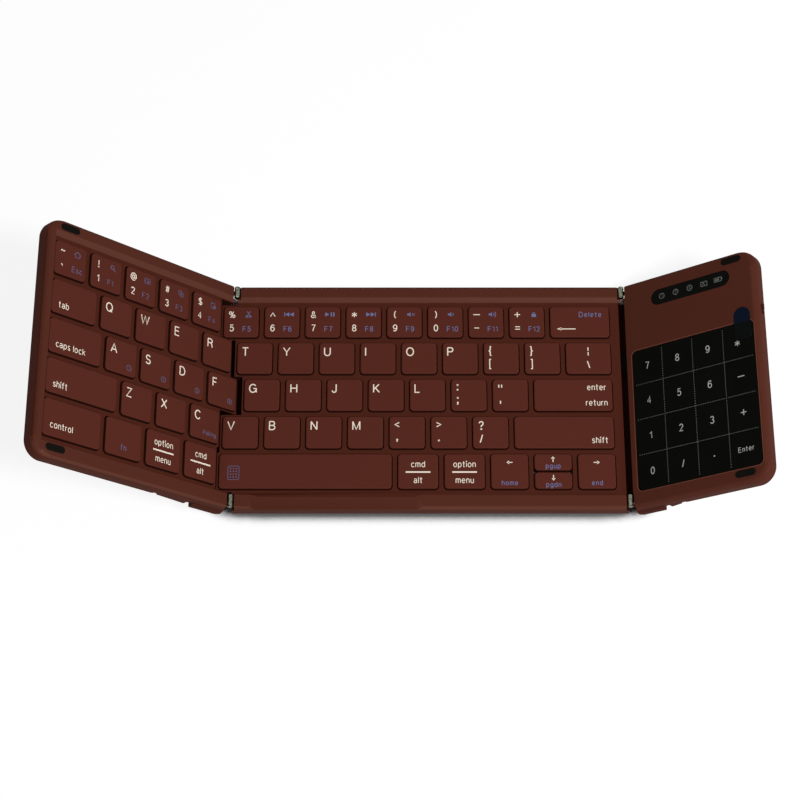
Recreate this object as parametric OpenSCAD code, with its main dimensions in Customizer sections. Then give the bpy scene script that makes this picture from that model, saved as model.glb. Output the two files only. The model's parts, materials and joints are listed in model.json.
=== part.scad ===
// Folding keyboard in three sections: a base with most of the keys, a left wing
// with the rest of them and a right wing with a touch number pad.
// X runs along the keyboard, Y to the rear and Z up, in millimetres.
// The origin is the centre of the base's underside.
// Each section is drawn flat, with Z = 0 at the height of the fold axes. The base
// and the left wing have X = 0 at the left fold axis, the right wing at the right one.

/* [Keys] */
// Distance from one key to the next along a row
key_pitch = 16; // [14:0.1:20]
// Distance from one row of keys to the next
row_pitch = 15.4; // [14:0.1:19]
// Gap between two caps in a row
key_gap = 2.3; // [1.8:0.1:3.2]
// Gap between the caps of two rows
row_gap = 2.2; // [1.8:0.1:3.2]
// How much deeper the bottom row's caps are than the others
bottom_row_extra = 0.9; // [0:0.1:4]
// Start of the number row's first base key, from the left fold axis
number_row_start = -5; // [-6:0.1:-3.5]
// Start of the upper letter row's first base key, from the left fold axis
upper_row_start = 0.7; // [0.4:0.1:2]
// Start of the home row's first base key, from the left fold axis
home_row_start = 3.9; // [3:0.1:4.4]
// Start of the lower letter row's first base key, from the left fold axis
lower_row_start = -4; // [-6:0.1:-3.5]
// Start of the space bar, from the left fold axis
bottom_row_start = -4.8; // [-6:0.1:-3.5]
// Width of the delete cap
delete_w = 23.2; // [18:0.1:30]
// Width of the command and option caps on the base
modifier_w = 15.4; // [12:0.1:18]
// Width of the arrow caps
arrow_w = 14.3; // [12:0.1:18]
// Width of the left wing's command cap
left_command_w = 14.8; // [12:0.1:18]
// Width of the left wing's option cap
left_option_w = 15.6; // [12:0.1:18]
// Width of the fn cap
fn_w = 16; // [12:0.1:18]
// Gap between the up and down arrow caps, which share one opening
half_key_gap = 0.7; // [0.5:0.1:1.5]
// Clearance between a cap and its opening in the frame
key_clear = 0.35; // [0.25:0.05:0.5]
// Corner radius of the caps
cap_r = 1.4; // [0.6:0.1:2.5]
// Height of a cap
cap_h = 2.65; // [2.4:0.05:3.5]
// Wall of a cap, at its sides and its top
cap_wall = 0.9; // [0.6:0.1:1.2]
// Step round the top of a cap
cap_step = 0.25; // [0.1:0.05:0.4]
// Length of the lips that hold a cap under the frame, beyond the cap's sides
lip = 0.7; // [0.6:0.05:0.8]
// Thickness of the lips
lip_t = 0.4; // [0.3:0.05:0.6]
// How far a key travels
key_travel = 1.3; // [0.8:0.1:2]

/* [Case] */
// Flat rear rim, front to back
rear_rim_d = 5; // [4.6:0.1:8]
// Sloped ledge in front of the rear rim
ledge_d = 1.9; // [1:0.1:3]
// Margin between the ledge and the number row
rear_margin = 2; // [1.5:0.1:4]
// Margin between the bottom row and the front rim
front_margin = 2.4; // [1.5:0.1:4]
// Front rim, front to back
front_rim_d = 5.8; // [5.6:0.1:12]
// Margin between the caps and the left wing's outer side
side_margin = 3.8; // [2.8:0.1:6]
// Margin between the base's last caps and the right fold axis
end_margin = 5; // [3.5:0.1:8]
// Height of the rims above the caps' tops
rim_above_caps = 0.3; // [0.1:0.1:0.8]
// Height of the caps' tops above the frame between them
caps_above_web = 1; // [0.6:0.1:1.6]
// Thickness of the frame between the caps
web_t = 1.2; // [0.8:0.1:1.6]
// Outer walls of the frames
wall = 1.2; // [1:0.1:1.5]
// Thin walls of the frames along the stepped fold
fold_wall = 0.5; // [0.4:0.05:0.6]
// Gap between two sections along the fold
fold_gap = 0.5; // [0.4:0.1:0.8]
// Gap between the base and the right wing beside the keys
right_gap = 1.8; // [1:0.1:3]
// Floor of the three trays
tray_t = 0.9; // [0.8:0.1:1.4]
// Inset of the trays from the frames' outer faces
tray_inset = 0.3; // [0:0.1:0.6]
// Depth of the battery housing below the base's tray
hump_t = 3.5; // [3.3:0.1:6]
// Distance from the battery housing to the fold axes
hump_end_inset = 6.6; // [5:0.1:20]
// Distance from the battery housing to the front and rear faces
hump_side_inset = 8.3; // [7.5:0.1:15]
// Corner radius of the wings' outer corners
corner_r = 7; // [3:0.1:8]
// Radius over the wings' outer sides
shoulder_r = 2.4; // [1:0.1:3]
// Width of the rounding along the front and rear edges
edge_r = 1.6; // [0.4:0.1:2]
// Start of the finger scoop in the front rim, from the left fold axis
scoop_start = 6.7; // [6:0.1:20]
// Length of the finger scoop
scoop_w = 66.5; // [20:0.5:90]
// Length of the scoop's sloped ends
scoop_slope = 2.8; // [1:0.1:6]

/* [Inside] */
// Steel plate under the keys
plate_t = 0.4; // [0.3:0.05:0.8]
// Rubber sheet on the key plate
sheet_t = 0.2; // [0.1:0.05:0.4]
// Room between the key plates and the tray floors
under_plate = 0.45; // [0.4:0.05:2]
// Diameter of a rubber dome where it meets the sheet
dome_d = 6; // [4:0.1:6]
// Length of the battery cell, along X
battery_w = 62; // [30:1:90]
// Depth of the battery cell, along Y
battery_d = 36; // [20:1:60]
// Thickness of the battery cell
battery_t = 2.9; // [2:0.1:3]
// Thickness of the touch wing's circuit board
board_t = 0.8; // [0.6:0.1:1.2]
// Width of the flat cables across the folds
flex_w = 8; // [4:0.1:9]
// Thickness of the flat cables
flex_t = 0.15; // [0.1:0.05:0.3]
// Diameter of the screws' shanks
screw_d = 1.6; // [1.4:0.1:2]
// Diameter of the screws' heads
screw_head_d = 2.8; // [2.4:0.1:3]
// Length of the screws with their heads
screw_len = 3.2; // [2.6:0.1:3.4]

/* [Fold] */
// Height of the fold axes above the rims
axis_above_rim = 0.2; // [0.15:0.05:0.5]
// Rest angle of the left wing above flat
left_rest = 44.4; // [0:0.1:180]
// Rest angle of the right wing above flat
right_rest = 37.3; // [0:0.1:180]
// Diameter of the hinge knuckles
knuckle_d = 2.2; // [2:0.1:2.6]
// Diameter of the hinge pins
pin_d = 1.2; // [1:0.1:1.4]
// Radial clearance of a pin in a wing's knuckle
pin_clear = 0.05; // [0.02:0.01:0.1]
// Length of a hinge barrel
barrel_len = 4.3; // [4:0.1:5]
// Distance of a hinge barrel from the front or rear face
barrel_inset = 1; // [0.6:0.1:1.4]
// Thickness of the hinge leaves
leaf_t = 0.8; // [0.5:0.1:0.9]
// Length of the hinge leaves
leaf_len = 7.4; // [5:0.1:7.5]
// Length of the left wing's hinge lugs
left_lug_len = 14.4; // [8:0.1:16]
// Length of the right wing's hinge lugs
right_lug_len = 11.5; // [8:0.1:16]
// Depth of the hinge lugs below the wings' trays
lug_t = 1.3; // [0.4:0.1:2.5]
// How far the hinge lugs stand out of the front and rear faces
lug_proud = 0.7; // [0.3:0.1:1.2]
// Length of the left wing's wedge pad beside the lugs
left_pad_len = 13.2; // [4:0.1:16]
// Length of the right wing's wedge pad beside the lugs
right_pad_len = 4.6; // [4:0.1:16]
// Depth of the pads' thick ends below the trays
pad_t = 0.6; // [0.2:0.1:1]
// Width of the grooves beside the pads
groove_w = 2.3; // [1:0.1:3]

/* [Touch wing] */
// Width of the touch glass
glass_w = 52.3; // [40:0.1:64]
// Depth of the touch glass
glass_d = 57.2; // [40:0.1:59]
// Thickness of the touch glass
glass_t = 0.9; // [0.6:0.1:1.1]
// Distance from the fold axis to the touch glass
glass_left = 3.5; // [3:0.1:6]
// Distance from the glass to the wing's outer side
glass_side = 2.3; // [2:0.1:4]
// Distance from the glass to the wing's front face
glass_front = 6.2; // [5.5:0.1:9]
// Depth of the glass below the rim
glass_recess = 0.15; // [0.1:0.05:0.3]
// Clearance round the glass and the indicator window
glass_clear = 0.12; // [0.05:0.01:0.2]
// Length of the indicator window
window_w = 34; // [30:0.2:40]
// Width of the indicator window
window_d = 6.3; // [5:0.1:8]
// Distance from the fold axis to the window's middle
window_x = 30.2; // [25:0.1:34]
// Distance from the rear face to the window's middle
window_rear = 9.4; // [8.8:0.1:10]
// Distance from one indicator lamp to the next
lamp_pitch = 6.1; // [4:0.1:6.5]
// Distance from the fold axis to the middle of the charging socket
socket_x = 28; // [20:0.5:34]
// Distance from the rear face to the front end of the power switch's slot
switch_rear = 26.5; // [20:0.1:40]
// Length of the power switch's knob
knob_len = 1.8; // [1.2:0.1:3]
// Travel of the power switch
switch_travel = 2; // [1:0.1:3]
// Width of the clear film's pull tab
tab_w = 6.7; // [4:0.1:10]
// Length of the pull tab on the glass and on the frame
tab_len = 12.9; // [8:0.1:16]
// Length of the pull tab that lies on the glass
tab_on_glass = 6.9; // [4:0.1:12]
// Distance from the pull tab to the outer side of the glass
tab_side = 1.1; // [0:0.1:10]

/* [Rubber] */
// Length of the bumpers on the rims
bumper_len = 8.2; // [6:0.1:12]
// Width of the bumpers
bumper_w = 2.7; // [1.8:0.1:3]
// Height of the bumpers above the rims
bumper_proud = 0.3; // [0.1:0.05:0.35]
// Distance from the left bumpers' middles to the wing's outer side
left_bumper_inset = 9.5; // [7:0.1:12]
// Distance from the right bumpers' middles to the wing's outer side
right_bumper_inset = 9.7; // [7:0.1:12]
// Distance from the front bumpers' middles to the front face
front_bumper_edge = 4.1; // [2.6:0.1:4.2]
// Distance from the rear bumpers' middles to the rear face
rear_bumper_edge = 3; // [2.6:0.1:3.1]
// Length of the base's feet
foot_len = 14; // [8:0.5:24]
// Width of the base's feet
foot_w = 4; // [3:0.1:6]
// Height of the feet below the battery housing
foot_proud = 0.5; // [0.3:0.1:1]
// Diameter of the wings' feet
wing_foot_d = 7; // [5:0.1:10]
// Distance from the wings' feet to the wing's outer side
wing_foot_side = 11; // [8:0.1:20]
// Distance from the wings' feet to the front and rear faces
wing_foot_edge = 12; // [10:0.1:20]

/* [Hidden] */
$fn = 48;
corner_fn = 16;
outer_fn = 48;
eps = 0.01;
far = 400;

// Colours of the finishes
shell_brown = [0.36, 0.17, 0.13];
cap_brown = [0.34, 0.15, 0.12];
tray_brown = [0.30, 0.14, 0.11];
rubber_black = [0.05, 0.05, 0.05];
dome_grey = [0.75, 0.75, 0.72];
steel = [0.72, 0.72, 0.68];
gloss_black = [0.03, 0.03, 0.03];
board_green = [0.05, 0.25, 0.12];
foil_silver = [0.78, 0.78, 0.80];
film_blue = [0.06, 0.09, 0.16];
flex_black = [0.07, 0.05, 0.04];
lamp_white = [0.90, 0.90, 0.85];

// Rows of keys, from the rear one to the front one
ROWS = 5;
BOTTOM = ROWS - 1;
row_start = [number_row_start, upper_row_start, home_row_start, lower_row_start, bottom_row_start];
left_unit_keys = [5, 4, 4, 3];
base_unit_keys = [8, 8, 7, 7];
key_w = key_pitch - key_gap;
cap_d = row_pitch - row_gap;
bottom_cap_d = cap_d + bottom_row_extra;
keys_left = number_row_start - left_unit_keys[0] * key_pitch;
keys_right = number_row_start + base_unit_keys[0] * key_pitch + delete_w;

// Outer sizes of the three sections
case_depth = rear_rim_d + ledge_d + rear_margin + BOTTOM * row_pitch + bottom_cap_d
    + front_margin + front_rim_d;
rear_y = case_depth / 2;
front_y = -rear_y;
left_reach = side_margin - keys_left;
right_reach = glass_left + glass_w + glass_side;
// The base is never shorter than the two wings that lie on it when folded
wings_gap = 1;
fold_span = max(keys_right + end_margin, left_reach + right_reach + wings_gap);
rows_rear = rear_y - rear_rim_d - ledge_d - rear_margin;
rows_front = front_y + front_rim_d + front_margin;
field_rear = rows_rear + rear_margin;
field_front = rows_front - front_margin;
// The stepped fold starts a little outside the first and last rows
step_margin = 1.2;

// Heights, from the fold axes down
rim_z = -axis_above_rim;
cap_z = rim_z - rim_above_caps;
web_z = cap_z - caps_above_web;
web_bottom = web_z - web_t;
cap_bottom = cap_z - cap_h;
press_gap = 0.1;
lip_clear = 0.15;
sheet_z = cap_bottom - key_travel - press_gap;
plate_z = sheet_z - sheet_t;
plate_bottom = plate_z - plate_t;
floor_z = plate_bottom - under_plate;
tray_z = floor_z - tray_t;
hump_z = tray_z - hump_t;
feet_z = hump_z - foot_proud;
axis_z = -hump_z;
lug_z = tray_z - lug_t;

// Guards that close the folds from below, clear of the wings' sweep
guard_clear = 0.35;
guard_t = 0.8;
guard_reach = 8;
guard_wall_x = home_row_start - key_gap / 2 + 0.85;
guard_z = -norm([home_row_start - key_gap / 2, tray_z]) - guard_clear;
guard_half = -field_front + step_margin - 0.5;

// Hinges
barrel_y = rear_y - barrel_inset - barrel_len / 2;
knuckle_gap = 0.1;
wing_knuckle_len = barrel_len / 3;
base_knuckle_len = (barrel_len - wing_knuckle_len) / 2 - knuckle_gap;
barrel_clear = 0.35;
pocket_half = knuckle_d / 2 + barrel_clear;
leaf_z = -knuckle_d / 2;
leaf_bottom = leaf_z - leaf_t;
pocket_z = leaf_bottom - barrel_clear;
pin_head_d = pin_d + 0.5;
pin_head_t = 0.25;
base_bore_d = pin_d + 0.02;
wing_bore_d = pin_d + 2 * pin_clear;
// The leaves' arms end in a foot as wide as this under each knuckle
arm_w = 1;

// Touch wing
top_plate_t = glass_recess + glass_t;
board_z = rim_z - top_plate_t;
board_bottom = board_z - board_t;
glass_r = 2;
glass_y = front_y + glass_front;
window_y = rear_y - window_rear;
window_t = 0.6;
window_z = rim_z - 0.1;
window_ledge = 0.6;
lamp = [1.6, 0.8, 0.3];
lamp_count = 5;
window_seat = window_d / 2 - window_ledge;
// Shell of the charging socket, along X, along Y and in height
socket = [8.94, 7.3, 3.2];
socket_wall = 0.3;
socket_clear = 0.15;
tongue = [6.7, 4.6, 0.7];
knob_z = floor_z + 0.8;
knob_h = 1.4;
knob_proud = 0.7;
knob_clear = 0.2;
keeper_t = 0.45;
keeper_rim = 0.5;
switch_y = rear_y - switch_rear;
// Body of the power switch on the board, behind the knob's keeper
switch_w = 3;
switch_gap = 0.05;
// Controller, radio, charger and crystal: X, Y, width, depth and height of each
chips = [[20, -12, 7, 7, 0.9], [34, 4, 5, 5, 0.8], [18, 24, 4, 4, 0.7], [40, 26, 6, 3, 1]];
tab_t = 0.12;

// Fasteners and rubber
screw_head_h = 0.6;
boss_d = 4;
boss_y = rear_y - wall - boss_d / 2 + 0.4;
screw_clear = 0.1;
pilot_clear = 0.02;
pilot_extra = 0.3;
slot_w = 0.4;
slot_t = 0.25;
bumper_seat = 0.5;
foot_seat = 0.3;
plate_margin = 1;
plate_clear = 0.25;
rib_w = 1.2;
flex_y = rows_rear - row_pitch - cap_d / 2;
flex_z = (plate_bottom + floor_z) / 2;
flex_lead = 9;
flex_notch = 1;

// Front edge and depth of a row's caps
function row_depth(r) = r == BOTTOM ? bottom_cap_d : cap_d;
function row_front(r) = rows_rear - r * row_pitch - row_depth(r);

// A key is [left edge, front edge, width, depth]
function key_between(r, left, right) = [left, row_front(r), right - left, row_depth(r)];
function unit_keys(r, first, count) =
    [for (i = [first:first + count - 1])
        [row_start[r] + i * key_pitch, row_front(r), key_w, row_depth(r)]];
function base_row(r) = unit_keys(r, 0, base_unit_keys[r]);
function left_row(r) = unit_keys(r, -left_unit_keys[r], left_unit_keys[r]);
function base_row_end(r) =
    key_between(r, row_start[r] + base_unit_keys[r] * key_pitch, keys_right);
function left_row_end(r) =
    key_between(r, keys_left, row_start[r] - left_unit_keys[r] * key_pitch - key_gap);

// Bottom row of the base, from its right end
right_arrow_x = keys_right - arrow_w;
up_arrow_x = right_arrow_x - key_gap - arrow_w;
left_arrow_x = up_arrow_x - key_gap - arrow_w;
option_x = left_arrow_x - key_gap - modifier_w;
command_x = option_x - key_gap - modifier_w;
space = key_between(BOTTOM, bottom_row_start, command_x - key_gap);
right_command = key_between(BOTTOM, command_x, command_x + modifier_w);
right_option = key_between(BOTTOM, option_x, option_x + modifier_w);
left_arrow = key_between(BOTTOM, left_arrow_x, left_arrow_x + arrow_w);
right_arrow = key_between(BOTTOM, right_arrow_x, keys_right);
arrow_pair = key_between(BOTTOM, up_arrow_x, up_arrow_x + arrow_w);
half_d = (arrow_pair[3] - half_key_gap) / 2;
down_arrow = [arrow_pair[0], arrow_pair[1], arrow_pair[2], half_d];
up_arrow = [arrow_pair[0], arrow_pair[1] + half_d + half_key_gap, arrow_pair[2], half_d];

// Bottom row of the left wing, from the fold
left_command_x = bottom_row_start - key_gap - left_command_w;
left_option_x = left_command_x - key_gap - left_option_w;
fn_x = left_option_x - key_gap - fn_w;
left_command = key_between(BOTTOM, left_command_x, left_command_x + left_command_w);
left_option = key_between(BOTTOM, left_option_x, left_option_x + left_option_w);
fn = key_between(BOTTOM, fn_x, fn_x + fn_w);
control = key_between(BOTTOM, keys_left, fn_x - key_gap);

base_openings = concat(
    base_row(0), base_row(1), base_row(2), base_row(3),
    [for (r = [0:3]) base_row_end(r)],
    [space, right_command, right_option, left_arrow, arrow_pair, right_arrow]
);
left_openings = concat(
    left_row(0), left_row(1), left_row(2), left_row(3),
    [for (r = [1:3]) left_row_end(r)],
    [control, fn, left_option, left_command]
);
base_domes = concat(
    base_row(0), base_row(1), base_row(2), base_row(3),
    [for (r = [0:3]) base_row_end(r)],
    [space, right_command, right_option, left_arrow, up_arrow, down_arrow, right_arrow]
);

// Places of the screws along the rims, at the front and at the rear. The wings' first
// screws sit in the middles of the wedge pads.
base_screw_x = [hump_end_inset + 8, fold_span / 2, fold_span - hump_end_inset - 8];
left_screw_x = [-left_lug_len - groove_w - left_pad_len / 2, -left_reach / 2 - 4,
                -left_reach + left_bumper_inset + 9];
right_screw_x = [right_lug_len + groove_w + right_pad_len / 2,
                 right_reach - right_bumper_inset - 9];

// Placing of the sections, from flat to the rest pose
module on_base() translate([-fold_span / 2, 0, axis_z]) children();
module on_left_wing() on_base() rotate([0, left_rest, 0]) children();
module on_right_wing()
    translate([fold_span / 2, 0, axis_z]) rotate([0, -right_rest, 0]) children();

// A flat shape raised from one height to another
module slab(bottom, top) translate([0, 0, bottom]) linear_extrude(top - bottom) children();

// A shape at the front and its mirror image at the rear
module front_and_rear() {
    children();
    mirror([0, 1, 0]) children();
}

module rounded(w, d, r, fn = corner_fn) offset(r = r, $fn = fn)
    translate([r, r]) square([w - 2 * r, d - 2 * r]);

// An oblong with round ends about the origin, along X
module oblong(length, w) translate([-length / 2, -w / 2]) rounded(length, w, w / 2 - eps);

// Outlines of the sections

// The stepped fold runs round the rows' ends, one band for each row
function step_edge(r) = row_start[r] - key_gap / 2;
function band_rear(r) =
    r == 0 ? rows_rear + step_margin : row_front(r) + row_depth(r) + row_gap / 2;
function band_front(r) = r == BOTTOM ? rows_front - step_margin : row_front(r) - row_gap / 2;
module band(r, from, to) translate([from, band_front(r)])
    square([to - from, band_rear(r) - band_front(r)]);
module wing_side() difference() {
    union() {
        translate([-far, -far]) square([far, 2 * far]);
        for (r = [0:BOTTOM]) if (step_edge(r) > 0) band(r, -eps, step_edge(r));
    }
    for (r = [0:BOTTOM]) if (step_edge(r) < 0) band(r, step_edge(r), eps);
}

module base_outline() difference() {
    translate([-key_pitch, front_y])
        square([fold_span + key_pitch - fold_gap / 2, case_depth]);
    offset(delta = fold_gap / 2) wing_side();
    translate([fold_span - right_gap / 2 - fold_gap / 2, field_front])
        square([right_gap, field_rear - field_front]);
}
// The wings' sides of the folds, open towards their outer ends
module left_side() offset(delta = -fold_gap / 2) wing_side();
module right_side() difference() {
    translate([fold_gap / 2, -far]) square([far, 2 * far]);
    translate([0, field_front])
        square([(right_gap + fold_gap) / 2, field_rear - field_front]);
}
// A wing's outer end towards -X, inset at its sides and at the front and rear
module outer_end(reach, side, edge) translate([-reach + side, front_y + edge])
    rounded(reach + 2 * key_pitch, case_depth - 2 * edge, corner_r, outer_fn);
module left_outline() intersection() {
    outer_end(left_reach, 0, 0);
    left_side();
}
module right_outline() intersection() {
    mirror([1, 0]) outer_end(right_reach, 0, 0);
    right_side();
}

// The room inside a frame: thick outer walls, thin walls along the fold
module cavity(left, right) intersection() {
    offset(delta = -fold_wall) children();
    translate([left, front_y + wall]) square([right - left, case_depth - 2 * wall]);
}
module base_cavity() cavity(-key_pitch, fold_span - right_gap / 2 - wall) base_outline();
module left_cavity() cavity(-left_reach + wall, key_pitch) left_outline();
module right_cavity() cavity(right_gap / 2 + wall, right_reach - wall) right_outline();

// Outer blocks of the frames

// Steps of the rounding over the outer edges: how far each is inset, and its height
round_steps = 5;
function round_inset(i, width) = width * (1 - cos(90 * i / round_steps));
function round_z(i) = rim_z - shoulder_r * (1 - sin(90 * i / round_steps));
// The base's block, rounded along its front and rear edges
module base_block(left, right)
    translate([left, 0, 0]) rotate([90, 0, 90]) linear_extrude(right - left) polygon(concat(
        [[front_y, floor_z], [rear_y, floor_z]],
        [for (i = [0:round_steps]) [rear_y - round_inset(i, edge_r), round_z(i)]],
        [for (i = [round_steps:-1:0]) [front_y + round_inset(i, edge_r), round_z(i)]]
    ));
// A wing's block towards -X. Its rounding runs from the outer side round both corners.
module wing_block(reach) hull() {
    slab(floor_z, floor_z + eps) outer_end(reach, 0, 0);
    for (i = [0:round_steps]) slab(round_z(i) - eps, round_z(i))
        outer_end(reach, round_inset(i, shoulder_r), round_inset(i, edge_r));
}
// The sunk field that the keys stand in, with the sloped ledge behind it
module key_field(left, right) {
    slab(web_z, rim_z + 1)
        translate([left, field_front]) square([right - left, field_rear - field_front]);
    translate([left, 0, 0]) rotate([90, 0, 90]) linear_extrude(right - left) polygon([
        [field_rear - eps, web_z],
        [field_rear, web_z],
        [field_rear + ledge_d, rim_z],
        [field_rear + ledge_d, rim_z + 1],
        [field_rear - eps, rim_z + 1]
    ]);
}
module key_openings(keys) slab(floor_z - 1, rim_z + 1)
    for (k = keys) translate([k[0] - key_clear, k[1] - key_clear])
        rounded(k[2] + 2 * key_clear, k[3] + 2 * key_clear, cap_r + key_clear);
module frame_bosses(places) front_and_rear() for (x = places)
    translate([x, -boss_y, floor_z]) cylinder(d = boss_d, h = web_bottom - floor_z + eps);
module pilot_holes(places) front_and_rear() for (x = places)
    translate([x, -boss_y, floor_z - 1])
        cylinder(d = screw_d + pilot_clear, h = 1 + screw_len - tray_t + pilot_extra);

// Hinges. A leaf points to +X; side = -1 turns it round for the other section.
module barrel_part(from, to, d) translate([0, to, 0]) rotate([90, 0, 0])
    cylinder(d = d, h = to - from);
module hinge_leaf(spans, bore_d) difference() {
    union() {
        for (s = spans) {
            barrel_part(s[0], s[1], knuckle_d);
            translate([-arm_w / 2, s[0], leaf_bottom])
                cube([pocket_half + arm_w / 2, s[1] - s[0], leaf_t]);
            translate([-arm_w / 2, s[0], leaf_bottom])
                cube([arm_w, s[1] - s[0], leaf_t + (knuckle_d - pin_d) / 4]);
        }
        translate([pocket_half - leaf_side, -barrel_len / 2 + leaf_side, leaf_bottom])
            cube([leaf_len - pocket_half + leaf_side, barrel_len - 2 * leaf_side, leaf_t]);
    }
    barrel_part(-barrel_len, barrel_len, bore_d);
}
leaf_side = 0.4;
base_spans = [
    [-barrel_len / 2, -barrel_len / 2 + base_knuckle_len],
    [barrel_len / 2 - base_knuckle_len, barrel_len / 2]
];
wing_spans = [[-wing_knuckle_len / 2, wing_knuckle_len / 2]];
module leaf_pair(spans, bore_d, side)
    for (y = [-barrel_y, barrel_y]) translate([0, y, 0]) rotate([0, 0, side > 0 ? 0 : 180])
        hinge_leaf(spans, bore_d);
module pin_pair() for (y = [-barrel_y, barrel_y]) translate([0, y, 0]) {
    barrel_part(-barrel_len / 2, barrel_len / 2, pin_d);
    barrel_part(barrel_len / 2, barrel_len / 2 + pin_head_t, pin_head_d);
    barrel_part(-barrel_len / 2 - pin_head_t, -barrel_len / 2, pin_head_d);
}
// Room for the barrels and slots for the leaves, cut in the rims; side is where the leaf goes
module hinge_cuts(side) front_and_rear() {
    translate([-pocket_half, front_y - 1, pocket_z])
        cube([2 * pocket_half, 1 + barrel_inset + barrel_len + 2 * pin_head_t, far]);
    translate([side > 0 ? 0 : -leaf_len, -barrel_y - barrel_len / 2 + leaf_side, leaf_bottom])
        cube([leaf_len, barrel_len - 2 * leaf_side, leaf_t]);
}
// Passage for a flat cable under the key plates
module flex_cut(x) translate([x - key_pitch / 2, flex_y - flex_w / 2 - flex_notch, floor_z - eps])
    cube([key_pitch, flex_w + 2 * flex_notch, under_plate + eps]);

// Trays

module plate_outline() intersection() {
    offset(delta = -fold_wall - plate_clear) children();
    translate([-far, rows_front - plate_margin])
        square([2 * far, rows_rear - rows_front + 2 * plate_margin]);
}
module base_plate_outline() intersection() {
    plate_outline() base_outline();
    translate([-key_pitch, front_y])
        square([fold_span - right_gap / 2 - wall - plate_clear + key_pitch, case_depth]);
}
module left_plate_outline() intersection() {
    plate_outline() left_outline();
    translate([-left_reach + wall + plate_clear, front_y]) square([far, case_depth]);
}
module plate_ribs() slab(floor_z - eps, plate_bottom) difference() {
    children();
    offset(delta = -rib_w) children();
}
// Holes for the screws, open from below through the pads
module tray_holes(places) front_and_rear() for (x = places) translate([x, -boss_y, tray_z]) {
    cylinder(d = screw_d + 2 * screw_clear, h = tray_t + 1);
    translate([0, 0, -lug_t]) cylinder(d = screw_head_d + 2 * screw_clear, h = screw_head_h + lug_t);
}
module screws(places) front_and_rear() for (x = places) translate([x, -boss_y, tray_z]) {
    difference() {
        cylinder(d = screw_head_d, h = screw_head_h);
        for (turn = [0, 90]) rotate(turn) translate([-screw_head_d / 2, -slot_w / 2, -eps])
            cube([screw_head_d, slot_w, slot_t]);
    }
    cylinder(d = screw_d, h = screw_len);
}
// Hinge lugs at the fold and a wedge pad beside them, drawn towards -X
module lugs_and_pad(lug_len, pad_len) {
    front_and_rear() translate([-lug_len, 0, 0]) lug(lug_len - fold_gap / 2);
    translate([-lug_len - groove_w, rear_y, 0]) rotate([90, 0, 0]) linear_extrude(case_depth)
        polygon([
            [-pad_len, floor_z],
            [-pad_len, tray_z + tray_t / 2],
            [0, tray_z - pad_t],
            [0, floor_z]
        ]);
}
lug_chamfer = 0.8;
lug_top = -3.8;
lug_face = front_y - lug_proud;
lug_inner = field_front - step_margin;
lug_clear = 0.05;
// A lug stands out of the case's face and slopes back to it at its top
module lug(length) intersection() {
    rotate([90, 0, 90]) linear_extrude(length) polygon([
        [lug_inner, floor_z],
        [lug_inner, lug_z + lug_chamfer],
        [lug_inner - lug_chamfer, lug_z],
        [lug_face + lug_chamfer / 2, lug_z],
        [lug_face, lug_z + lug_chamfer / 2],
        [lug_face, lug_top - 2 * lug_proud],
        [front_y - lug_clear, lug_top],
        [front_y - lug_clear, floor_z]
    ]);
    translate([0, lug_inner, 0]) rotate([90, 0, 0]) linear_extrude(lug_inner - lug_face) polygon([
        [0, lug_top],
        [0, lug_z + lug_chamfer],
        [lug_chamfer, lug_z],
        [length - 2 * lug_chamfer, lug_z],
        [length, lug_z + 2 * lug_chamfer],
        [length, lug_top]
    ]);
}
// Grooves beside a pad, which end as notches in the tray's edges
notch_d = 1.1;
module grooves(lug_len, pad_len) for (x = [-lug_len - groove_w, -lug_len - 2 * groove_w - pad_len]) {
    translate([x, front_y - 1, tray_z - lug_t])
        cube([groove_w, case_depth + 2, lug_t + tray_t / 2]);
    front_and_rear() translate([x, front_y - 1, tray_z - lug_t])
        cube([groove_w, 1 + notch_d, lug_t + tray_t + eps]);
}
// The notches go on in the lower edge of the frame's outer wall
module frame_notches(lug_len, pad_len)
    for (x = [-lug_len - groove_w, -lug_len - 2 * groove_w - pad_len])
        front_and_rear() translate([x, front_y - 1, floor_z - 1])
            cube([groove_w, 1 + wall / 2, 1 + wall / 2]);

// A trough with sloped sides, open at the top
hump_slope = 1.2;
function trough_profile(from, to, bottom, top) = [
    [from, top],
    [from, tray_z],
    [from + hump_slope, bottom],
    [to - hump_slope, bottom],
    [to, tray_z],
    [to, top]
];
module trough(left, right, inset, bottom, top) intersection() {
    translate([left + inset, 0, 0]) rotate([90, 0, 90]) linear_extrude(right - left - 2 * inset)
        polygon(trough_profile(front_y + hump_side_inset + inset,
                               rear_y - hump_side_inset - inset, bottom, top));
    translate([0, rear_y, 0]) rotate([90, 0, 0]) linear_extrude(case_depth)
        polygon(trough_profile(left + inset, right - inset, bottom, top));
}
// A guard under the fold at X = 0, carried by a wall beside the battery housing
module guard() {
    slab(guard_z - guard_t, guard_z) guard_outline(-guard_reach);
    slab(guard_z - guard_t, tray_z + eps) guard_outline(guard_wall_x);
}
module guard_outline(from) translate([from, -guard_half])
    square([hump_end_inset + wall / 2 - from, 2 * guard_half]);
base_foot_x = [hump_end_inset + foot_len, fold_span - hump_end_inset - foot_len];
base_foot_y = rear_y - hump_side_inset - foot_w;
module base_foot_places() for (x = base_foot_x, y = [-base_foot_y, base_foot_y])
    translate([x, y]) oblong(foot_len, foot_w);

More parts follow.
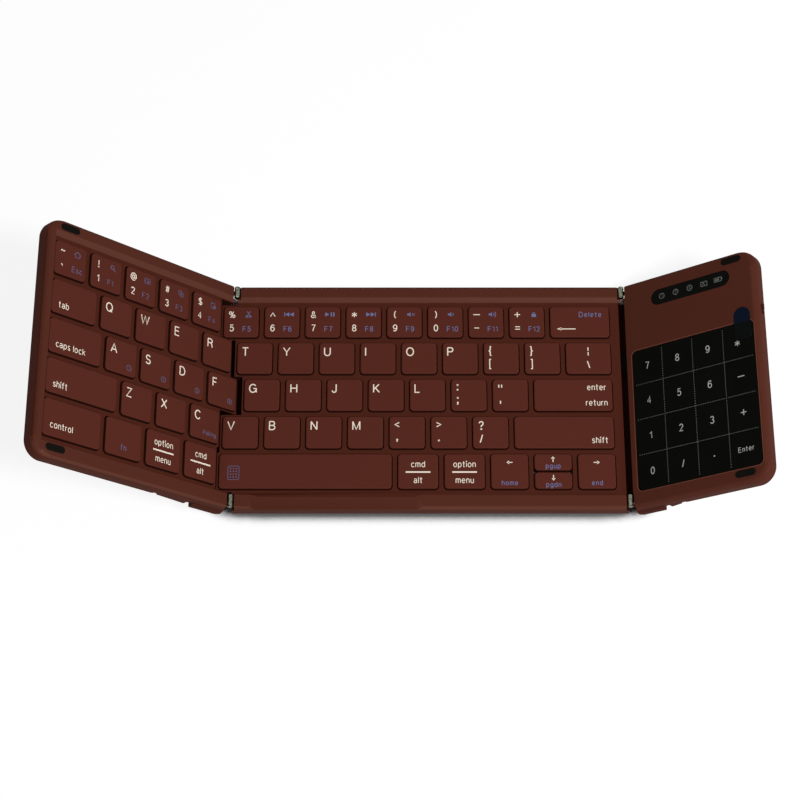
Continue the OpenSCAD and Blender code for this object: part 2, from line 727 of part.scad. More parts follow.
module base_tray() color(tray_brown) on_base() difference() {
    union() {
        slab(tray_z, floor_z) offset(delta = -tray_inset) base_outline();
        trough(hump_end_inset, fold_span - hump_end_inset, 0, hump_z, floor_z);
        plate_ribs() base_plate_outline();
        guard();
        translate([fold_span, 0, 0]) mirror([1, 0, 0]) guard();
    }
    trough(hump_end_inset, fold_span - hump_end_inset, wall, hump_z + tray_t, plate_bottom + eps);
    slab(hump_z - eps, hump_z + foot_seat) base_foot_places();
    tray_holes(base_screw_x);
    flex_cut(0);
    flex_cut(fold_span);
}
module base_frame() color(shell_brown) on_base() difference() {
    union() {
        difference() {
            intersection() {
                slab(floor_z, rim_z) base_outline();
                base_block(-key_pitch, fold_span);
            }
            slab(floor_z - 1, web_bottom) base_cavity();
            key_field(-key_pitch, fold_span);
            key_openings(base_openings);
            front_scoop();
        }
        frame_bosses(base_screw_x);
    }
    pilot_holes(base_screw_x);
    hinge_cuts(1);
    translate([fold_span, 0, 0]) hinge_cuts(-1);
    flex_cut(0);
    flex_cut(fold_span);
}
module front_scoop() translate([0, field_front + eps, 0]) rotate([90, 0, 0])
    linear_extrude(2 * front_rim_d) polygon([
        [scoop_start, rim_z + eps],
        [scoop_start + scoop_slope, web_z],
        [scoop_start + scoop_w - scoop_slope, web_z],
        [scoop_start + scoop_w, rim_z + eps]
    ]);
module base_key_plate() color(steel) on_base() slab(plate_bottom, plate_z) base_plate_outline();
// A dome under each cap, narrow enough to stand inside it
function dome_width(k) = min(dome_d, min(k[2], k[3]) - 2 * cap_wall - 2 * lip_clear);
module domes(keys) for (k = keys)
    translate([k[0] + k[2] / 2, k[1] + k[3] / 2, sheet_z - eps])
        cylinder(d1 = dome_width(k), d2 = dome_width(k) * 2 / 3,
                 h = cap_z - cap_wall - press_gap - sheet_z);
module base_dome_sheet() color(dome_grey) on_base() {
    slab(plate_z, sheet_z) offset(delta = -plate_clear) base_plate_outline();
    domes(base_domes);
}
module battery_cell() color(foil_silver) on_base()
    translate([fold_span / 2 - battery_w / 2, -battery_d / 2, hump_z + tray_t]) {
        cube([battery_w, battery_d, battery_t]);
        translate([battery_w, battery_d / 4, battery_t / 4])
            cube([battery_end, battery_d / 2, battery_t / 2]);
    }
// Protection strip at the battery's end
battery_end = 4;
module base_screws() color(steel) on_base() screws(base_screw_x);
module base_feet() color(rubber_black) on_base()
    slab(feet_z, hump_z + foot_seat) base_foot_places();

module left_hinge_base_leaves() color(steel) on_base() leaf_pair(base_spans, base_bore_d, 1);
module right_hinge_base_leaves() color(steel) on_base()
    translate([fold_span, 0, 0]) leaf_pair(base_spans, base_bore_d, -1);
module left_hinge_pins() color(steel) on_base() pin_pair();
module right_hinge_pins() color(steel) on_base() translate([fold_span, 0, 0]) pin_pair();
module left_hinge_wing_leaves() color(steel) on_left_wing()
    leaf_pair(wing_spans, wing_bore_d, -1);
module right_hinge_wing_leaves() color(steel) on_right_wing()
    leaf_pair(wing_spans, wing_bore_d, 1);

// A flat cable that turns round the fold axis: straight in the base, an arc, straight in the wing
module flex(rest) {
    outer = -flex_z + flex_t / 2;
    inner = -flex_z - flex_t / 2;
    steps = 8;
    translate([0, flex_y + flex_w / 2, 0]) rotate([90, 0, 0]) linear_extrude(flex_w)
        polygon(concat(
            [[flex_lead, -outer]],
            [for (i = [0:steps]) outer * [-sin(rest * i / steps), -cos(rest * i / steps)]],
            [wing_point(rest, flex_lead, outer), wing_point(rest, flex_lead, inner)],
            [for (i = [steps:-1:0]) inner * [-sin(rest * i / steps), -cos(rest * i / steps)]],
            [[flex_lead, -inner]]
        ));
}
function wing_point(rest, along, below) =
    [-along * cos(rest) - below * sin(rest), along * sin(rest) - below * cos(rest)];
module left_flex_cable() color(flex_black) on_base() flex(left_rest);
module right_flex_cable() color(flex_black) on_base()
    translate([fold_span, 0, 0]) mirror([1, 0, 0]) flex(right_rest);

// Left wing

module left_tray() color(tray_brown) on_left_wing() difference() {
    union() {
        slab(tray_z, floor_z) offset(delta = -tray_inset) left_outline();
        plate_ribs() left_plate_outline();
        lugs_and_pad(left_lug_len, left_pad_len);
    }
    grooves(left_lug_len, left_pad_len);
    tray_holes(left_screw_x);
    flex_cut(0);
    wing_foot_seats(-left_reach + wing_foot_side);
}
module wing_foot_seats(x) front_and_rear() translate([x, front_y + wing_foot_edge, tray_z - 1])
    cylinder(d = wing_foot_d, h = 1 + foot_seat);
module wing_feet(x) front_and_rear() translate([x, front_y + wing_foot_edge, feet_z])
    cylinder(d = wing_foot_d, h = tray_z + foot_seat - feet_z);
module left_frame() color(shell_brown) on_left_wing() difference() {
    union() {
        difference() {
            intersection() {
                slab(floor_z, rim_z) left_side();
                wing_block(left_reach);
            }
            slab(floor_z - 1, web_bottom) left_cavity();
            key_field(keys_left - key_clear, key_pitch);
            key_openings(left_openings);
        }
        frame_bosses(left_screw_x);
    }
    pilot_holes(left_screw_x);
    hinge_cuts(-1);
    flex_cut(0);
    bumper_seats(-left_reach + left_bumper_inset);
    frame_notches(left_lug_len, left_pad_len);
}
module bumper_places(x) for (y = [front_y + front_bumper_edge, rear_y - rear_bumper_edge])
    translate([x, y]) oblong(bumper_len, bumper_w);
module bumper_seats(x) slab(rim_z - bumper_seat, rim_z + 1) bumper_places(x);
module bumpers(x) slab(rim_z - bumper_seat, rim_z + bumper_proud) bumper_places(x);
module left_key_plate() color(steel) on_left_wing()
    slab(plate_bottom, plate_z) left_plate_outline();
module left_dome_sheet() color(dome_grey) on_left_wing() {
    slab(plate_z, sheet_z) offset(delta = -plate_clear) left_plate_outline();
    domes(left_openings);
}
module left_bumpers() color(rubber_black) on_left_wing()
    bumpers(-left_reach + left_bumper_inset);
module left_screws() color(steel) on_left_wing() screws(left_screw_x);
module left_feet() color(rubber_black) on_left_wing() wing_feet(-left_reach + wing_foot_side);

// Right wing

post_x = [glass_left + 6, right_reach - 8];
post_y = 30;
post_d = 3;
module right_tray() color(tray_brown) on_right_wing() difference() {
    union() {
        slab(tray_z, floor_z) offset(delta = -tray_inset) right_outline();
        mirror([1, 0, 0]) lugs_and_pad(right_lug_len, right_pad_len);
        front_and_rear() for (x = post_x) translate([x, -post_y, floor_z - eps])
            cylinder(d = post_d, h = board_bottom - floor_z + eps);
    }
    mirror([1, 0, 0]) grooves(right_lug_len, right_pad_len);
    tray_holes(right_screw_x);
    wing_foot_seats(right_reach - wing_foot_side);
}
module glass_outline() translate([glass_left, glass_y]) rounded(glass_w, glass_d, glass_r);
module window_outline(d) translate([window_x, window_y]) oblong(window_w - window_d + d, d);
board_side = 0.5;
board_edge = 1.2;
module board_outline() {
    translate([right_gap / 2 + wall + board_side, front_y + front_rim_d + board_edge])
        square([right_reach - right_gap / 2 - 2 * (wall + board_side),
                case_depth - 2 * (front_rim_d + board_edge)]);
    translate([socket_x - socket[0], 0]) square([2 * socket[0], rear_y - wall - board_clear]);
}
board_clear = 0.3;
module right_frame() color(shell_brown) on_right_wing() difference() {
    union() {
        difference() {
            intersection() {
                slab(floor_z, rim_z) right_side();
                mirror([1, 0, 0]) wing_block(right_reach);
            }
            slab(floor_z - 1, board_z) intersection() {
                right_cavity();
                square([2 * far, 2 * (boss_y - boss_d / 2)], center = true);
            }
            slab(floor_z - 1, web_bottom) right_cavity();
            slab(floor_z - 1, board_z) translate([socket_x - socket[0] - board_clear, 0])
                square([2 * (socket[0] + board_clear), rear_y - wall]);
        }
        frame_bosses(right_screw_x);
    }
    pilot_holes(right_screw_x);
    hinge_cuts(1);
    flex_cut(0);
    bumper_seats(right_reach - right_bumper_inset);
    slab(board_z - 1, rim_z + 1) offset(delta = glass_clear) glass_outline();
    slab(window_z - window_t, rim_z + 1) offset(delta = glass_clear) window_outline(window_d);
    slab(board_z - 1, rim_z) window_outline(2 * window_seat);
    translate([socket_x - socket[0] / 2 - socket_clear, rear_y - wall - 1, floor_z - 1])
        cube([socket[0] + 2 * socket_clear, wall + 2, board_bottom + socket_clear - floor_z + 1]);
    translate([right_reach - wall - 1, switch_y - knob_clear, knob_z - knob_clear])
        cube([wall + 2, switch_slot, knob_h + 2 * knob_clear]);
    mirror([1, 0, 0]) frame_notches(right_lug_len, right_pad_len);
}
switch_slot = knob_len + switch_travel + 2 * knob_clear;
module touch_glass() color(gloss_black) on_right_wing()
    slab(board_z, rim_z - glass_recess) glass_outline();
module indicator_window() color(gloss_black) on_right_wing()
    slab(window_z - window_t, window_z) window_outline(window_d);
module indicator_lamps() color(lamp_white) on_right_wing()
    for (i = [0:lamp_count - 1])
        translate([window_x + (i - (lamp_count - 1) / 2) * lamp_pitch - lamp[0] / 2,
                   window_y - lamp[1] / 2, board_z])
            cube(lamp);
module touch_board() color(board_green) on_right_wing() {
    slab(board_bottom, board_z) board_outline();
    for (chip = chips) translate([chip[0], chip[1], board_bottom - chip[4]])
        cube([chip[2], chip[3], chip[4] + eps]);
    translate([right_reach - wall - keeper_t - switch_gap - switch_w,
               switch_y - knob_clear - keeper_rim, knob_z])
        cube([switch_w, switch_slot + 2 * keeper_rim, board_bottom - knob_z + eps]);
}
module charging_socket() color(steel) on_right_wing()
    translate([socket_x, rear_y, board_bottom - socket[2] / 2]) {
        difference() {
            rotate([90, 0, 0]) linear_extrude(socket[1]) oblong(socket[0], socket[2]);
            translate([0, eps, 0]) rotate([90, 0, 0]) linear_extrude(socket[1] - 1)
                oblong(socket[0] - 2 * socket_wall, socket[2] - 2 * socket_wall);
        }
        translate([-tongue[0] / 2, -socket[1] + 0.5, -tongue[2] / 2]) cube(tongue);
    }
// The knob goes through the slot and a wider plate behind the wall keeps it in
module power_switch() color(rubber_black) on_right_wing()
    translate([right_reach - wall, switch_y + switch_travel, knob_z]) {
        translate([-keeper_t, 0, 0]) cube([keeper_t + wall + knob_proud, knob_len, knob_h]);
        translate([-keeper_t, -keeper_rim, -keeper_rim])
            cube([keeper_t - 0.05, knob_len + 2 * keeper_rim, knob_h + 2 * keeper_rim]);
    }
module film_tab() color(film_blue) on_right_wing()
    translate([glass_left + glass_w - tab_w - tab_side, glass_y + glass_d - tab_on_glass])
        slab(rim_z, rim_z + tab_t) intersection() {
            translate([0, -tab_w]) rounded(tab_w, tab_len + tab_w, tab_w / 2 - eps);
            square([tab_w, tab_len]);
        }
module right_bumpers() color(rubber_black) on_right_wing()
    bumpers(right_reach - right_bumper_inset);
module right_screws() color(steel) on_right_wing() screws(right_screw_x);
module right_feet() color(rubber_black) on_right_wing() wing_feet(right_reach - wing_foot_side);

// Key caps

// A hollow cap. Lips at its front and rear, or at its sides, stay under the frame;
// the room inside the frame is the module's child.
module keycap(k, side_lips = false) difference() {
    lip_start = cap_r + key_clear;
    union() {
        translate([k[0], k[1]]) slab(cap_bottom, cap_z - cap_step) rounded(k[2], k[3], cap_r);
        slab(cap_bottom, cap_z) translate([k[0] + cap_step, k[1] + cap_step])
            rounded(k[2] - 2 * cap_step, k[3] - 2 * cap_step, cap_r - cap_step);
        slab(cap_bottom, cap_bottom + lip_t) intersection() {
            offset(delta = -lip_clear) children();
            translate([k[0], k[1]])
                if (side_lips)
                    translate([-lip, lip_start]) square([k[2] + 2 * lip, k[3] - 2 * lip_start]);
                else
                    translate([lip_start, -lip]) square([k[2] - 2 * lip_start, k[3] + 2 * lip]);
        }
    }
    slab(cap_bottom - 1, cap_z - cap_wall) translate([k[0] + cap_wall, k[1] + cap_wall])
        rounded(k[2] - 2 * cap_wall, k[3] - 2 * cap_wall, cap_r - cap_wall);
}
module base_caps(keys, side_lips = false) color(cap_brown) on_base()
    for (k = keys) keycap(k, side_lips) base_cavity();
module left_caps(keys) color(cap_brown) on_left_wing()
    for (k = keys) keycap(k) left_cavity();

module left_number_keys() left_caps(left_row(0));
module tab_key() left_caps([left_row_end(1)]);
module left_upper_letter_keys() left_caps(left_row(1));
module caps_lock_key() left_caps([left_row_end(2)]);
module left_home_letter_keys() left_caps(left_row(2));
module left_shift_key() left_caps([left_row_end(3)]);
module left_lower_letter_keys() left_caps(left_row(3));
module control_key() left_caps([control]);
module fn_key() left_caps([fn]);
module left_option_key() left_caps([left_option]);
module left_command_key() left_caps([left_command]);
module number_keys() base_caps(base_row(0));
module delete_key() base_caps([base_row_end(0)]);
module upper_letter_keys() base_caps(base_row(1));
module backslash_key() base_caps([base_row_end(1)]);
module home_letter_keys() base_caps(base_row(2));
module enter_key() base_caps([base_row_end(2)]);
module lower_letter_keys() base_caps(base_row(3));
module right_shift_key() base_caps([base_row_end(3)]);
module space_key() base_caps([space]);
module right_command_key() base_caps([right_command]);
module right_option_key() base_caps([right_option]);
module left_arrow_key() base_caps([left_arrow]);
module up_arrow_key() base_caps([up_arrow], true);
module down_arrow_key() base_caps([down_arrow], true);
module right_arrow_key() base_caps([right_arrow]);

base_tray();
base_frame();
base_key_plate();
base_dome_sheet();
battery_cell();
base_screws();
base_feet();
left_hinge_base_leaves();
right_hinge_base_leaves();
left_hinge_pins();
right_hinge_pins();
left_flex_cable();
right_flex_cable();
left_tray();
left_frame();
left_key_plate();
left_dome_sheet();
left_bumpers();
left_screws();
left_hinge_wing_leaves();
left_feet();
right_tray();
right_frame();
touch_glass();
touch_board();
indicator_window();
indicator_lamps();
charging_socket();
power_switch();
film_tab();
right_bumpers();
right_screws();
right_hinge_wing_leaves();
right_feet();
left_number_keys();
tab_key();
left_upper_letter_keys();
caps_lock_key();
left_home_letter_keys();
left_shift_key();
left_lower_letter_keys();
control_key();
fn_key();
left_option_key();
left_command_key();
number_keys();
delete_key();
upper_letter_keys();
backslash_key();
home_letter_keys();
enter_key();
lower_letter_keys();
right_shift_key();
space_key();
right_command_key();
right_option_key();
left_arrow_key();
up_arrow_key();
down_arrow_key();
right_arrow_key();
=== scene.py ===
"""Looks of a folding keyboard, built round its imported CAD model.

Meshes are drawn in millimetres in the flat frame of their section: X along the
keyboard, Y to the rear, Z up from the fold axes. The base and the left wing have X = 0
at the left fold axis, the touch wing at the right one. Each mesh is then placed.
"""
import json
import logging
import math
from collections.abc import Callable, Iterable, Sequence
from dataclasses import dataclass
from enum import Enum
from functools import cache

import bmesh
import bpy
from mathutils import Matrix, Vector

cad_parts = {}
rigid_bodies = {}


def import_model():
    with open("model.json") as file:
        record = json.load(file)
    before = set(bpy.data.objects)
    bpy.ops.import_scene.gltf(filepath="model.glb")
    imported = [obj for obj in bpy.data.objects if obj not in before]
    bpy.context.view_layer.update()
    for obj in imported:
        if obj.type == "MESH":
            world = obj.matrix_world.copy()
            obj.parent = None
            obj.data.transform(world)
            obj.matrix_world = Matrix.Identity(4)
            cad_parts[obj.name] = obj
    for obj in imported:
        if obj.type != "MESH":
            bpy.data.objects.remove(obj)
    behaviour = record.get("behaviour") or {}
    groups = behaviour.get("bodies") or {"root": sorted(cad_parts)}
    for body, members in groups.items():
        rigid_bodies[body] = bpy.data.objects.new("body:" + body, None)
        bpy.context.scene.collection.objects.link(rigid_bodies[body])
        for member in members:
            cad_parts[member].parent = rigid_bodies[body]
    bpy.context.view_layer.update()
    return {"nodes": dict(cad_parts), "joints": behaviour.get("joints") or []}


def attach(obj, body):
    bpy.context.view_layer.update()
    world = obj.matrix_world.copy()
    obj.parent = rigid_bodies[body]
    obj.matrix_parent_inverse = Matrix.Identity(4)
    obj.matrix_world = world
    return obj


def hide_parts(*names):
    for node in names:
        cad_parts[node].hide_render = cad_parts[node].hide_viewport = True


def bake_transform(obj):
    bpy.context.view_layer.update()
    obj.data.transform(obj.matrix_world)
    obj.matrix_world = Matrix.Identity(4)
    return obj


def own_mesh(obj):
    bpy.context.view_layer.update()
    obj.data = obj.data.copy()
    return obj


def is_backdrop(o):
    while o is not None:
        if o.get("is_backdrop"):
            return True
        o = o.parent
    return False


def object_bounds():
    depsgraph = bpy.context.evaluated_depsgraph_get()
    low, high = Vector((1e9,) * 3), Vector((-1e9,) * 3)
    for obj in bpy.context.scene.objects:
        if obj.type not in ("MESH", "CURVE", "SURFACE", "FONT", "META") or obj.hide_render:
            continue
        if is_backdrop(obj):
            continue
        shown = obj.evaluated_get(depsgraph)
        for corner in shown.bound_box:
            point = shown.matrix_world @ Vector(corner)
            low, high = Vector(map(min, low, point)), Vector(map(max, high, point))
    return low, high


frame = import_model()

LOG = logging.getLogger("keyboard")
MM = 0.001

Point = tuple[float, float]
Triple = tuple[float, float, float]
Colour = Triple


def srgb(*parts: int) -> Colour:
    """Turns a colour of 0 to 255 as seen on a screen into Blender's linear one.

    Args:
        parts: Its red, green and blue parts.

    Returns:
        The three linear parts, from 0 to 1.
    """
    levels = [part / 255 for part in parts]
    return tuple(p / 12.92 if p <= 0.04045 else ((p + 0.055) / 1.055) ** 2.4 for p in levels)


def shades(colour: Colour, darker: float, lighter: float) -> tuple[Colour, Colour]:
    """Two shades of a colour, by their factors."""
    return tuple(tuple(part * factor for part in colour) for factor in (darker, lighter))


# Sections and their sizes


@dataclass(frozen=True)
class Section:
    """A section of the keyboard: its CAD body and the place of its flat frame."""

    body: str
    place: Matrix

    @classmethod
    def from_joint(cls, joint_name: str, moving: bool) -> "Section":
        """Reads a section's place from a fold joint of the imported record.

        Args:
            joint_name: Name of the fold joint.
            moving: True for the wing, False for the base at that joint.

        Returns:
            The section, with X = 0 on the fold axis.
        """
        joint = next(j for j in frame["joints"] if j["name"] == joint_name)
        place = Matrix.Translation(Vector(joint["pos_m"]))
        if moving:
            raised = math.radians(-joint["range_deg"][0])
            place = place @ Matrix.Rotation(raised, 4, Vector(joint["axis"]))
        body = joint["child"] if moving else joint["parent"]
        return cls(body, place @ Matrix.Scale(MM, 4))

    def point(self, x: float, y: float, z: float) -> Vector:
        """Places a point of the section's flat frame in the whole."""
        return self.place @ Vector((x, y, z))

    def up(self) -> Vector:
        """Gives the direction straight up from the section's face."""
        return (self.place.to_3x3() @ Vector((0, 0, 1))).normalized()


@dataclass(frozen=True)
class Cap:
    """A cap's place in its section, seen from above."""

    left: float
    front: float
    width: float
    depth: float

    @property
    def right(self) -> float:
        """Right edge."""
        return self.left + self.width

    @property
    def rear(self) -> float:
        """Rear edge."""
        return self.front + self.depth


@dataclass(frozen=True)
class Heights:
    """Heights from the fold axes, the same in all three sections."""

    rim: float = -0.2
    cap_top: float = -0.5
    web: float = -1.5
    cap_bottom: float = -3.15
    sheet: float = -4.55
    floor: float = -5.6
    tray: float = -6.5
    feet: float = -10.5


@dataclass(frozen=True)
class KeyLayout:
    """Where the caps stand, row by row from the rear one to the front one."""

    pitch: float = 16.0
    row_pitch: float = 15.4
    gap: float = 2.3
    row_gap: float = 2.2
    bottom_extra: float = 0.9
    starts: tuple[float, ...] = (-5.0, 0.7, 3.9, -4.0, -4.8)
    base_counts: tuple[int, ...] = (8, 8, 7, 7)
    left_counts: tuple[int, ...] = (5, 4, 4, 3)
    delete_w: float = 23.2
    modifier_w: float = 15.4
    arrow_w: float = 14.3
    left_command_w: float = 14.8
    left_option_w: float = 15.6
    fn_w: float = 16.0
    half_gap: float = 0.7
    rows_rear: float = 37.5
    bottom: int = 4

    @property
    def keys_left(self) -> float:
        """Outer edge of the left wing's caps."""
        return self.starts[0] - self.left_counts[0] * self.pitch

    @property
    def keys_right(self) -> float:
        """Outer edge of the base's last caps."""
        return self.starts[0] + self.base_counts[0] * self.pitch + self.delete_w

    def depth(self, row: int) -> float:
        """Depth of the caps in a row."""
        return self.row_pitch - self.row_gap + (self.bottom_extra if row == self.bottom else 0)

    def between(self, row: int, left: float, right: float) -> Cap:
        """A cap of a row between two places along X."""
        front = self.rows_rear - row * self.row_pitch - self.depth(row)
        return Cap(left, front, right - left, self.depth(row))

    def units(self, row: int, first: int, count: int) -> list[Cap]:
        """Neighbouring caps of normal width, counted from the row's first on the base."""
        lefts = [self.starts[row] + (first + i) * self.pitch for i in range(count)]
        return [self.between(row, left, left + self.pitch - self.gap) for left in lefts]

    def base_caps(self) -> dict[str, list[Cap]]:
        """Lists the caps on the base.

        Returns:
            The caps of each CAD node.
        """
        names = ("number_keys", "upper_letter_keys", "home_letter_keys", "lower_letter_keys")
        ends = ("delete_key", "backslash_key", "enter_key", "right_shift_key")
        caps: dict[str, list[Cap]] = {}
        for row, count in enumerate(self.base_counts):
            caps[names[row]] = self.units(row, 0, count)
            end = self.starts[row] + count * self.pitch
            caps[ends[row]] = [self.between(row, end, self.keys_right)]
        right = self.keys_right
        widths = (self.arrow_w, self.arrow_w, self.arrow_w, self.modifier_w, self.modifier_w)
        found: list[Cap] = []
        for width in widths:
            found.append(self.between(self.bottom, right - width, right))
            right -= width + self.gap
        caps["space_key"] = [self.between(self.bottom, self.starts[self.bottom], right)]
        for name, cap in zip(("right_arrow_key", "", "left_arrow_key", "right_option_key",
                              "right_command_key"), found):
            if name:
                caps[name] = [cap]
        pair = found[1]
        half = (pair.depth - self.half_gap) / 2
        caps["down_arrow_key"] = [Cap(pair.left, pair.front, pair.width, half)]
        caps["up_arrow_key"] = [Cap(pair.left, pair.rear - half, pair.width, half)]
        return caps

    def left_caps(self) -> dict[str, list[Cap]]:
        """Lists the caps on the left wing.

        Returns:
            The caps of each CAD node.
        """
        names = ("left_number_keys", "left_upper_letter_keys", "left_home_letter_keys",
                 "left_lower_letter_keys")
        ends = ("", "tab_key", "caps_lock_key", "left_shift_key")
        caps: dict[str, list[Cap]] = {}
        for row, count in enumerate(self.left_counts):
            caps[names[row]] = self.units(row, -count, count)
            if ends[row]:
                end = self.starts[row] - count * self.pitch - self.gap
                caps[ends[row]] = [self.between(row, self.keys_left, end)]
        right = self.starts[self.bottom] - self.gap
        for name, width in (("left_command_key", self.left_command_w),
                            ("left_option_key", self.left_option_w), ("fn_key", self.fn_w)):
            caps[name] = [self.between(self.bottom, right - width, right)]
            right -= width + self.gap
        caps["control_key"] = [self.between(self.bottom, self.keys_left, right)]
        return caps


LEVELS = Heights()
LAYOUT = KeyLayout()


# Shader helpers


class Field:
    """A node's output; an expression on it adds the Math nodes that work it out."""

    def __init__(self, nodes: "Nodes", socket: bpy.types.NodeSocket | None) -> None:
        """Wraps an output of a tree."""
        self.nodes = nodes
        self.socket = socket

    def _math(self, operation: str, first: object, second: object) -> "Field":
        """Adds one Math node for two values."""
        return self.nodes.add("ShaderNodeMath", {0: first, 1: second}, operation=operation)

    def __add__(self, other: object) -> "Field":
        """Sum."""
        return self._math("ADD", self, other)

    __radd__ = __add__

    def __sub__(self, other: object) -> "Field":
        """Difference."""
        return self._math("SUBTRACT", self, other)

    def __rsub__(self, other: object) -> "Field":
        """Difference from a number."""
        return self._math("SUBTRACT", other, self)

    def __mul__(self, other: object) -> "Field":
        """Product."""
        return self._math("MULTIPLY", self, other)

    __rmul__ = __mul__

    def __gt__(self, other: object) -> "Field":
        """One where this is greater, else zero."""
        return self._math("GREATER_THAN", self, other)

    def __or__(self, other: object) -> "Field":
        """The greater of two values."""
        return self._math("MAXIMUM", self, other)

    def fract(self) -> "Field":
        """The part after the decimal point."""
        return self._math("FRACT", self, 0.0)


class Nodes:
    """A node tree under construction."""

    def __init__(self, tree: bpy.types.NodeTree) -> None:
        """Empties a tree."""
        self.tree = tree
        tree.nodes.clear()

    def add(self, kind: str, values: dict[object, object], output: int | str = 0,
            **settings: object) -> Field:
        """Adds a node: settings first, then the values or links of its sockets.

        Args:
            kind: The node's type.
            values: A number, a colour or a Field for each input, by name or number.
            output: Which output to return, where it has one.
            settings: The node's properties.

        Returns:
            The node's output.
        """
        node = self.tree.nodes.new(kind)
        for name, value in settings.items():
            setattr(node, name, value)
        for name, value in values.items():
            if isinstance(value, Field):
                self.tree.links.new(value.socket, node.inputs[name])
            else:
                node.inputs[name].default_value = value
        return Field(self, node.outputs[output] if node.outputs else None)


class Paint(Nodes):
    """A material under construction."""

    def __init__(self, name: str) -> None:
        """Starts an empty material.

        Args:
            name: Name of the material.
        """
        self.material = bpy.data.materials.new(name)
        self.material.use_nodes = True
        super().__init__(self.material.node_tree)

    def millimetres(self, stretch: Triple = (1, 1, 1)) -> Field:
        """Object coordinates in millimetres, stretched along the axes."""
        place = self.add("ShaderNodeTexCoord", {}, "Object")
        return self.add("ShaderNodeMapping", {
            "Vector": place, "Scale": tuple(s / MM for s in stretch)})

    def noise(self, size: float, detail: float = 2.0,
              stretch: Triple = (1, 1, 1)) -> Field:
        """Noise from 0 to 1 with features of a size in millimetres."""
        return self.add("ShaderNodeTexNoise", {
            "Vector": self.millimetres(stretch), "Scale": 1 / size, "Detail": detail})

    def finished(self, mask: Field, colours: tuple[Colour, Colour], roughness: Field,
                 relief: tuple[Field, float], **constants: float) -> bpy.types.Material:
        """Ends the material with a Principled shader.

        Args:
            mask: Share of the second colour.
            colours: The colours where the mask is 0 and 1.
            roughness: The roughness.
            relief: A height from 0 to 1 and its depth in millimetres.
            constants: Other inputs, with underscores for spaces.

        Returns:
            The material.
        """
        colour = self.add("ShaderNodeMix", {
            0: mask, 6: (*colours[0], 1), 7: (*colours[1], 1)}, 2, data_type="RGBA")
        normal = self.add("ShaderNodeBump", {"Height": relief[0], "Distance": relief[1] * MM})
        shader = self.add("ShaderNodeBsdfPrincipled", {
            "Base Color": colour, "Roughness": roughness, "Normal": normal,
            **{name.replace("_", " "): value for name, value in constants.items()}})
        self.add("ShaderNodeOutputMaterial", {"Surface": shader})
        return self.material


@dataclass(frozen=True)
class Coat:
    """A finish's name and main colour, in millimetres where it has sizes."""

    name: str
    colour: Colour


@dataclass(frozen=True)
class MouldedPlastic(Coat):
    """Moulded plastic with a fine eroded grain and a faint cloudiness."""

    roughness: float = 0.5
    specular: float = 0.02
    grain: float = 0.16
    grain_depth: float = 0.012
    cloud: float = 14.0
    variation: float = 0.05
    speckle: float = 0.35
    swing: float = 0.16

    def material(self) -> bpy.types.Material:
        """Builds the material.

        Returns:
            The material.
        """
        paint = Paint(self.name)
        clouds = paint.noise(self.cloud, 3)
        speckle = paint.noise(self.grain * 2.5, 1)
        tone = (1 - self.speckle) * clouds + self.speckle * speckle
        return paint.finished(
            tone, shades(self.colour, 1 - self.variation, 1 + self.variation),
            (clouds - 0.5) * self.swing + self.roughness,
            (paint.noise(self.grain, 2), self.grain_depth), Specular_IOR_Level=self.specular)


@dataclass(frozen=True)
class Rubber(Coat):
    """Matt rubber with a fine powdery surface."""

    roughness: float = 0.8
    grain: float = 0.3
    grain_depth: float = 0.015

    def material(self) -> bpy.types.Material:
        """Builds the material.

        Returns:
            The material.
        """
        paint = Paint(self.name)
        dust = paint.noise(self.grain * 6, 3)
        return paint.finished(
            dust, shades(self.colour, 0.8, 1.3), (dust - 0.5) * 0.1 + self.roughness,
            (paint.noise(self.grain, 2), self.grain_depth), Specular_IOR_Level=0.02)


@dataclass(frozen=True)
class BrushedSteel(Coat):
    """Bright steel with fine rolling marks along Y."""

    roughness: float = 0.3
    stain: float = 5.0
    darkest: float = 0.86

    def material(self) -> bpy.types.Material:
        """Builds the material.

        Returns:
            The material.
        """
        paint = Paint(self.name)
        marks = paint.noise(0.25, 3, (1, 0.03, 1))
        stains = (paint.noise(self.stain, 2) - 0.5) * 2.4 + 0.5
        return paint.finished(stains, shades(self.colour, self.darkest, 1),
                              (marks - 0.5) * 0.25 + self.roughness, (marks, 0.004), Metallic=1.0)


@dataclass(frozen=True)
class GlossBlack(Coat):
    """Polished black glass or window plastic with faint smears."""

    roughness: float = 0.07
    specular: float = 0.012

    def material(self) -> bpy.types.Material:
        """Builds the material.

        Returns:
            The material.
        """
        paint = Paint(self.name)
        smears = paint.noise(9, 4, (1, 0.5, 1))
        return paint.finished(smears, shades(self.colour, 0.8, 1.2),
                              smears * 0.12 + self.roughness, (paint.noise(20, 1), 0.004),
                              Specular_IOR_Level=self.specular)


@dataclass(frozen=True)
class Ink(Coat):
    """Printed ink, a little uneven in cover."""

    def material(self) -> bpy.types.Material:
        """Builds the material.

        Returns:
            The material.
        """
        paint = Paint(self.name)
        cover = paint.noise(0.35, 2)
        return paint.finished(cover, shades(self.colour, 0.9, 1), cover * 0.1 + 0.45,
                              (cover, 0.004), Specular_IOR_Level=0.03)


@dataclass(frozen=True)
class CrinkledFoil(Coat):
    """Laminated foil of a pouch cell, slightly creased."""

    def material(self) -> bpy.types.Material:
        """Builds the material.

        Returns:
            The material.
        """
        paint = Paint(self.name)
        creases = paint.noise(3.5, 4)
        return paint.finished(creases, shades(self.colour, 0.85, 1), creases * 0.2 + 0.3,
                              (creases, 0.12), Metallic=0.85)


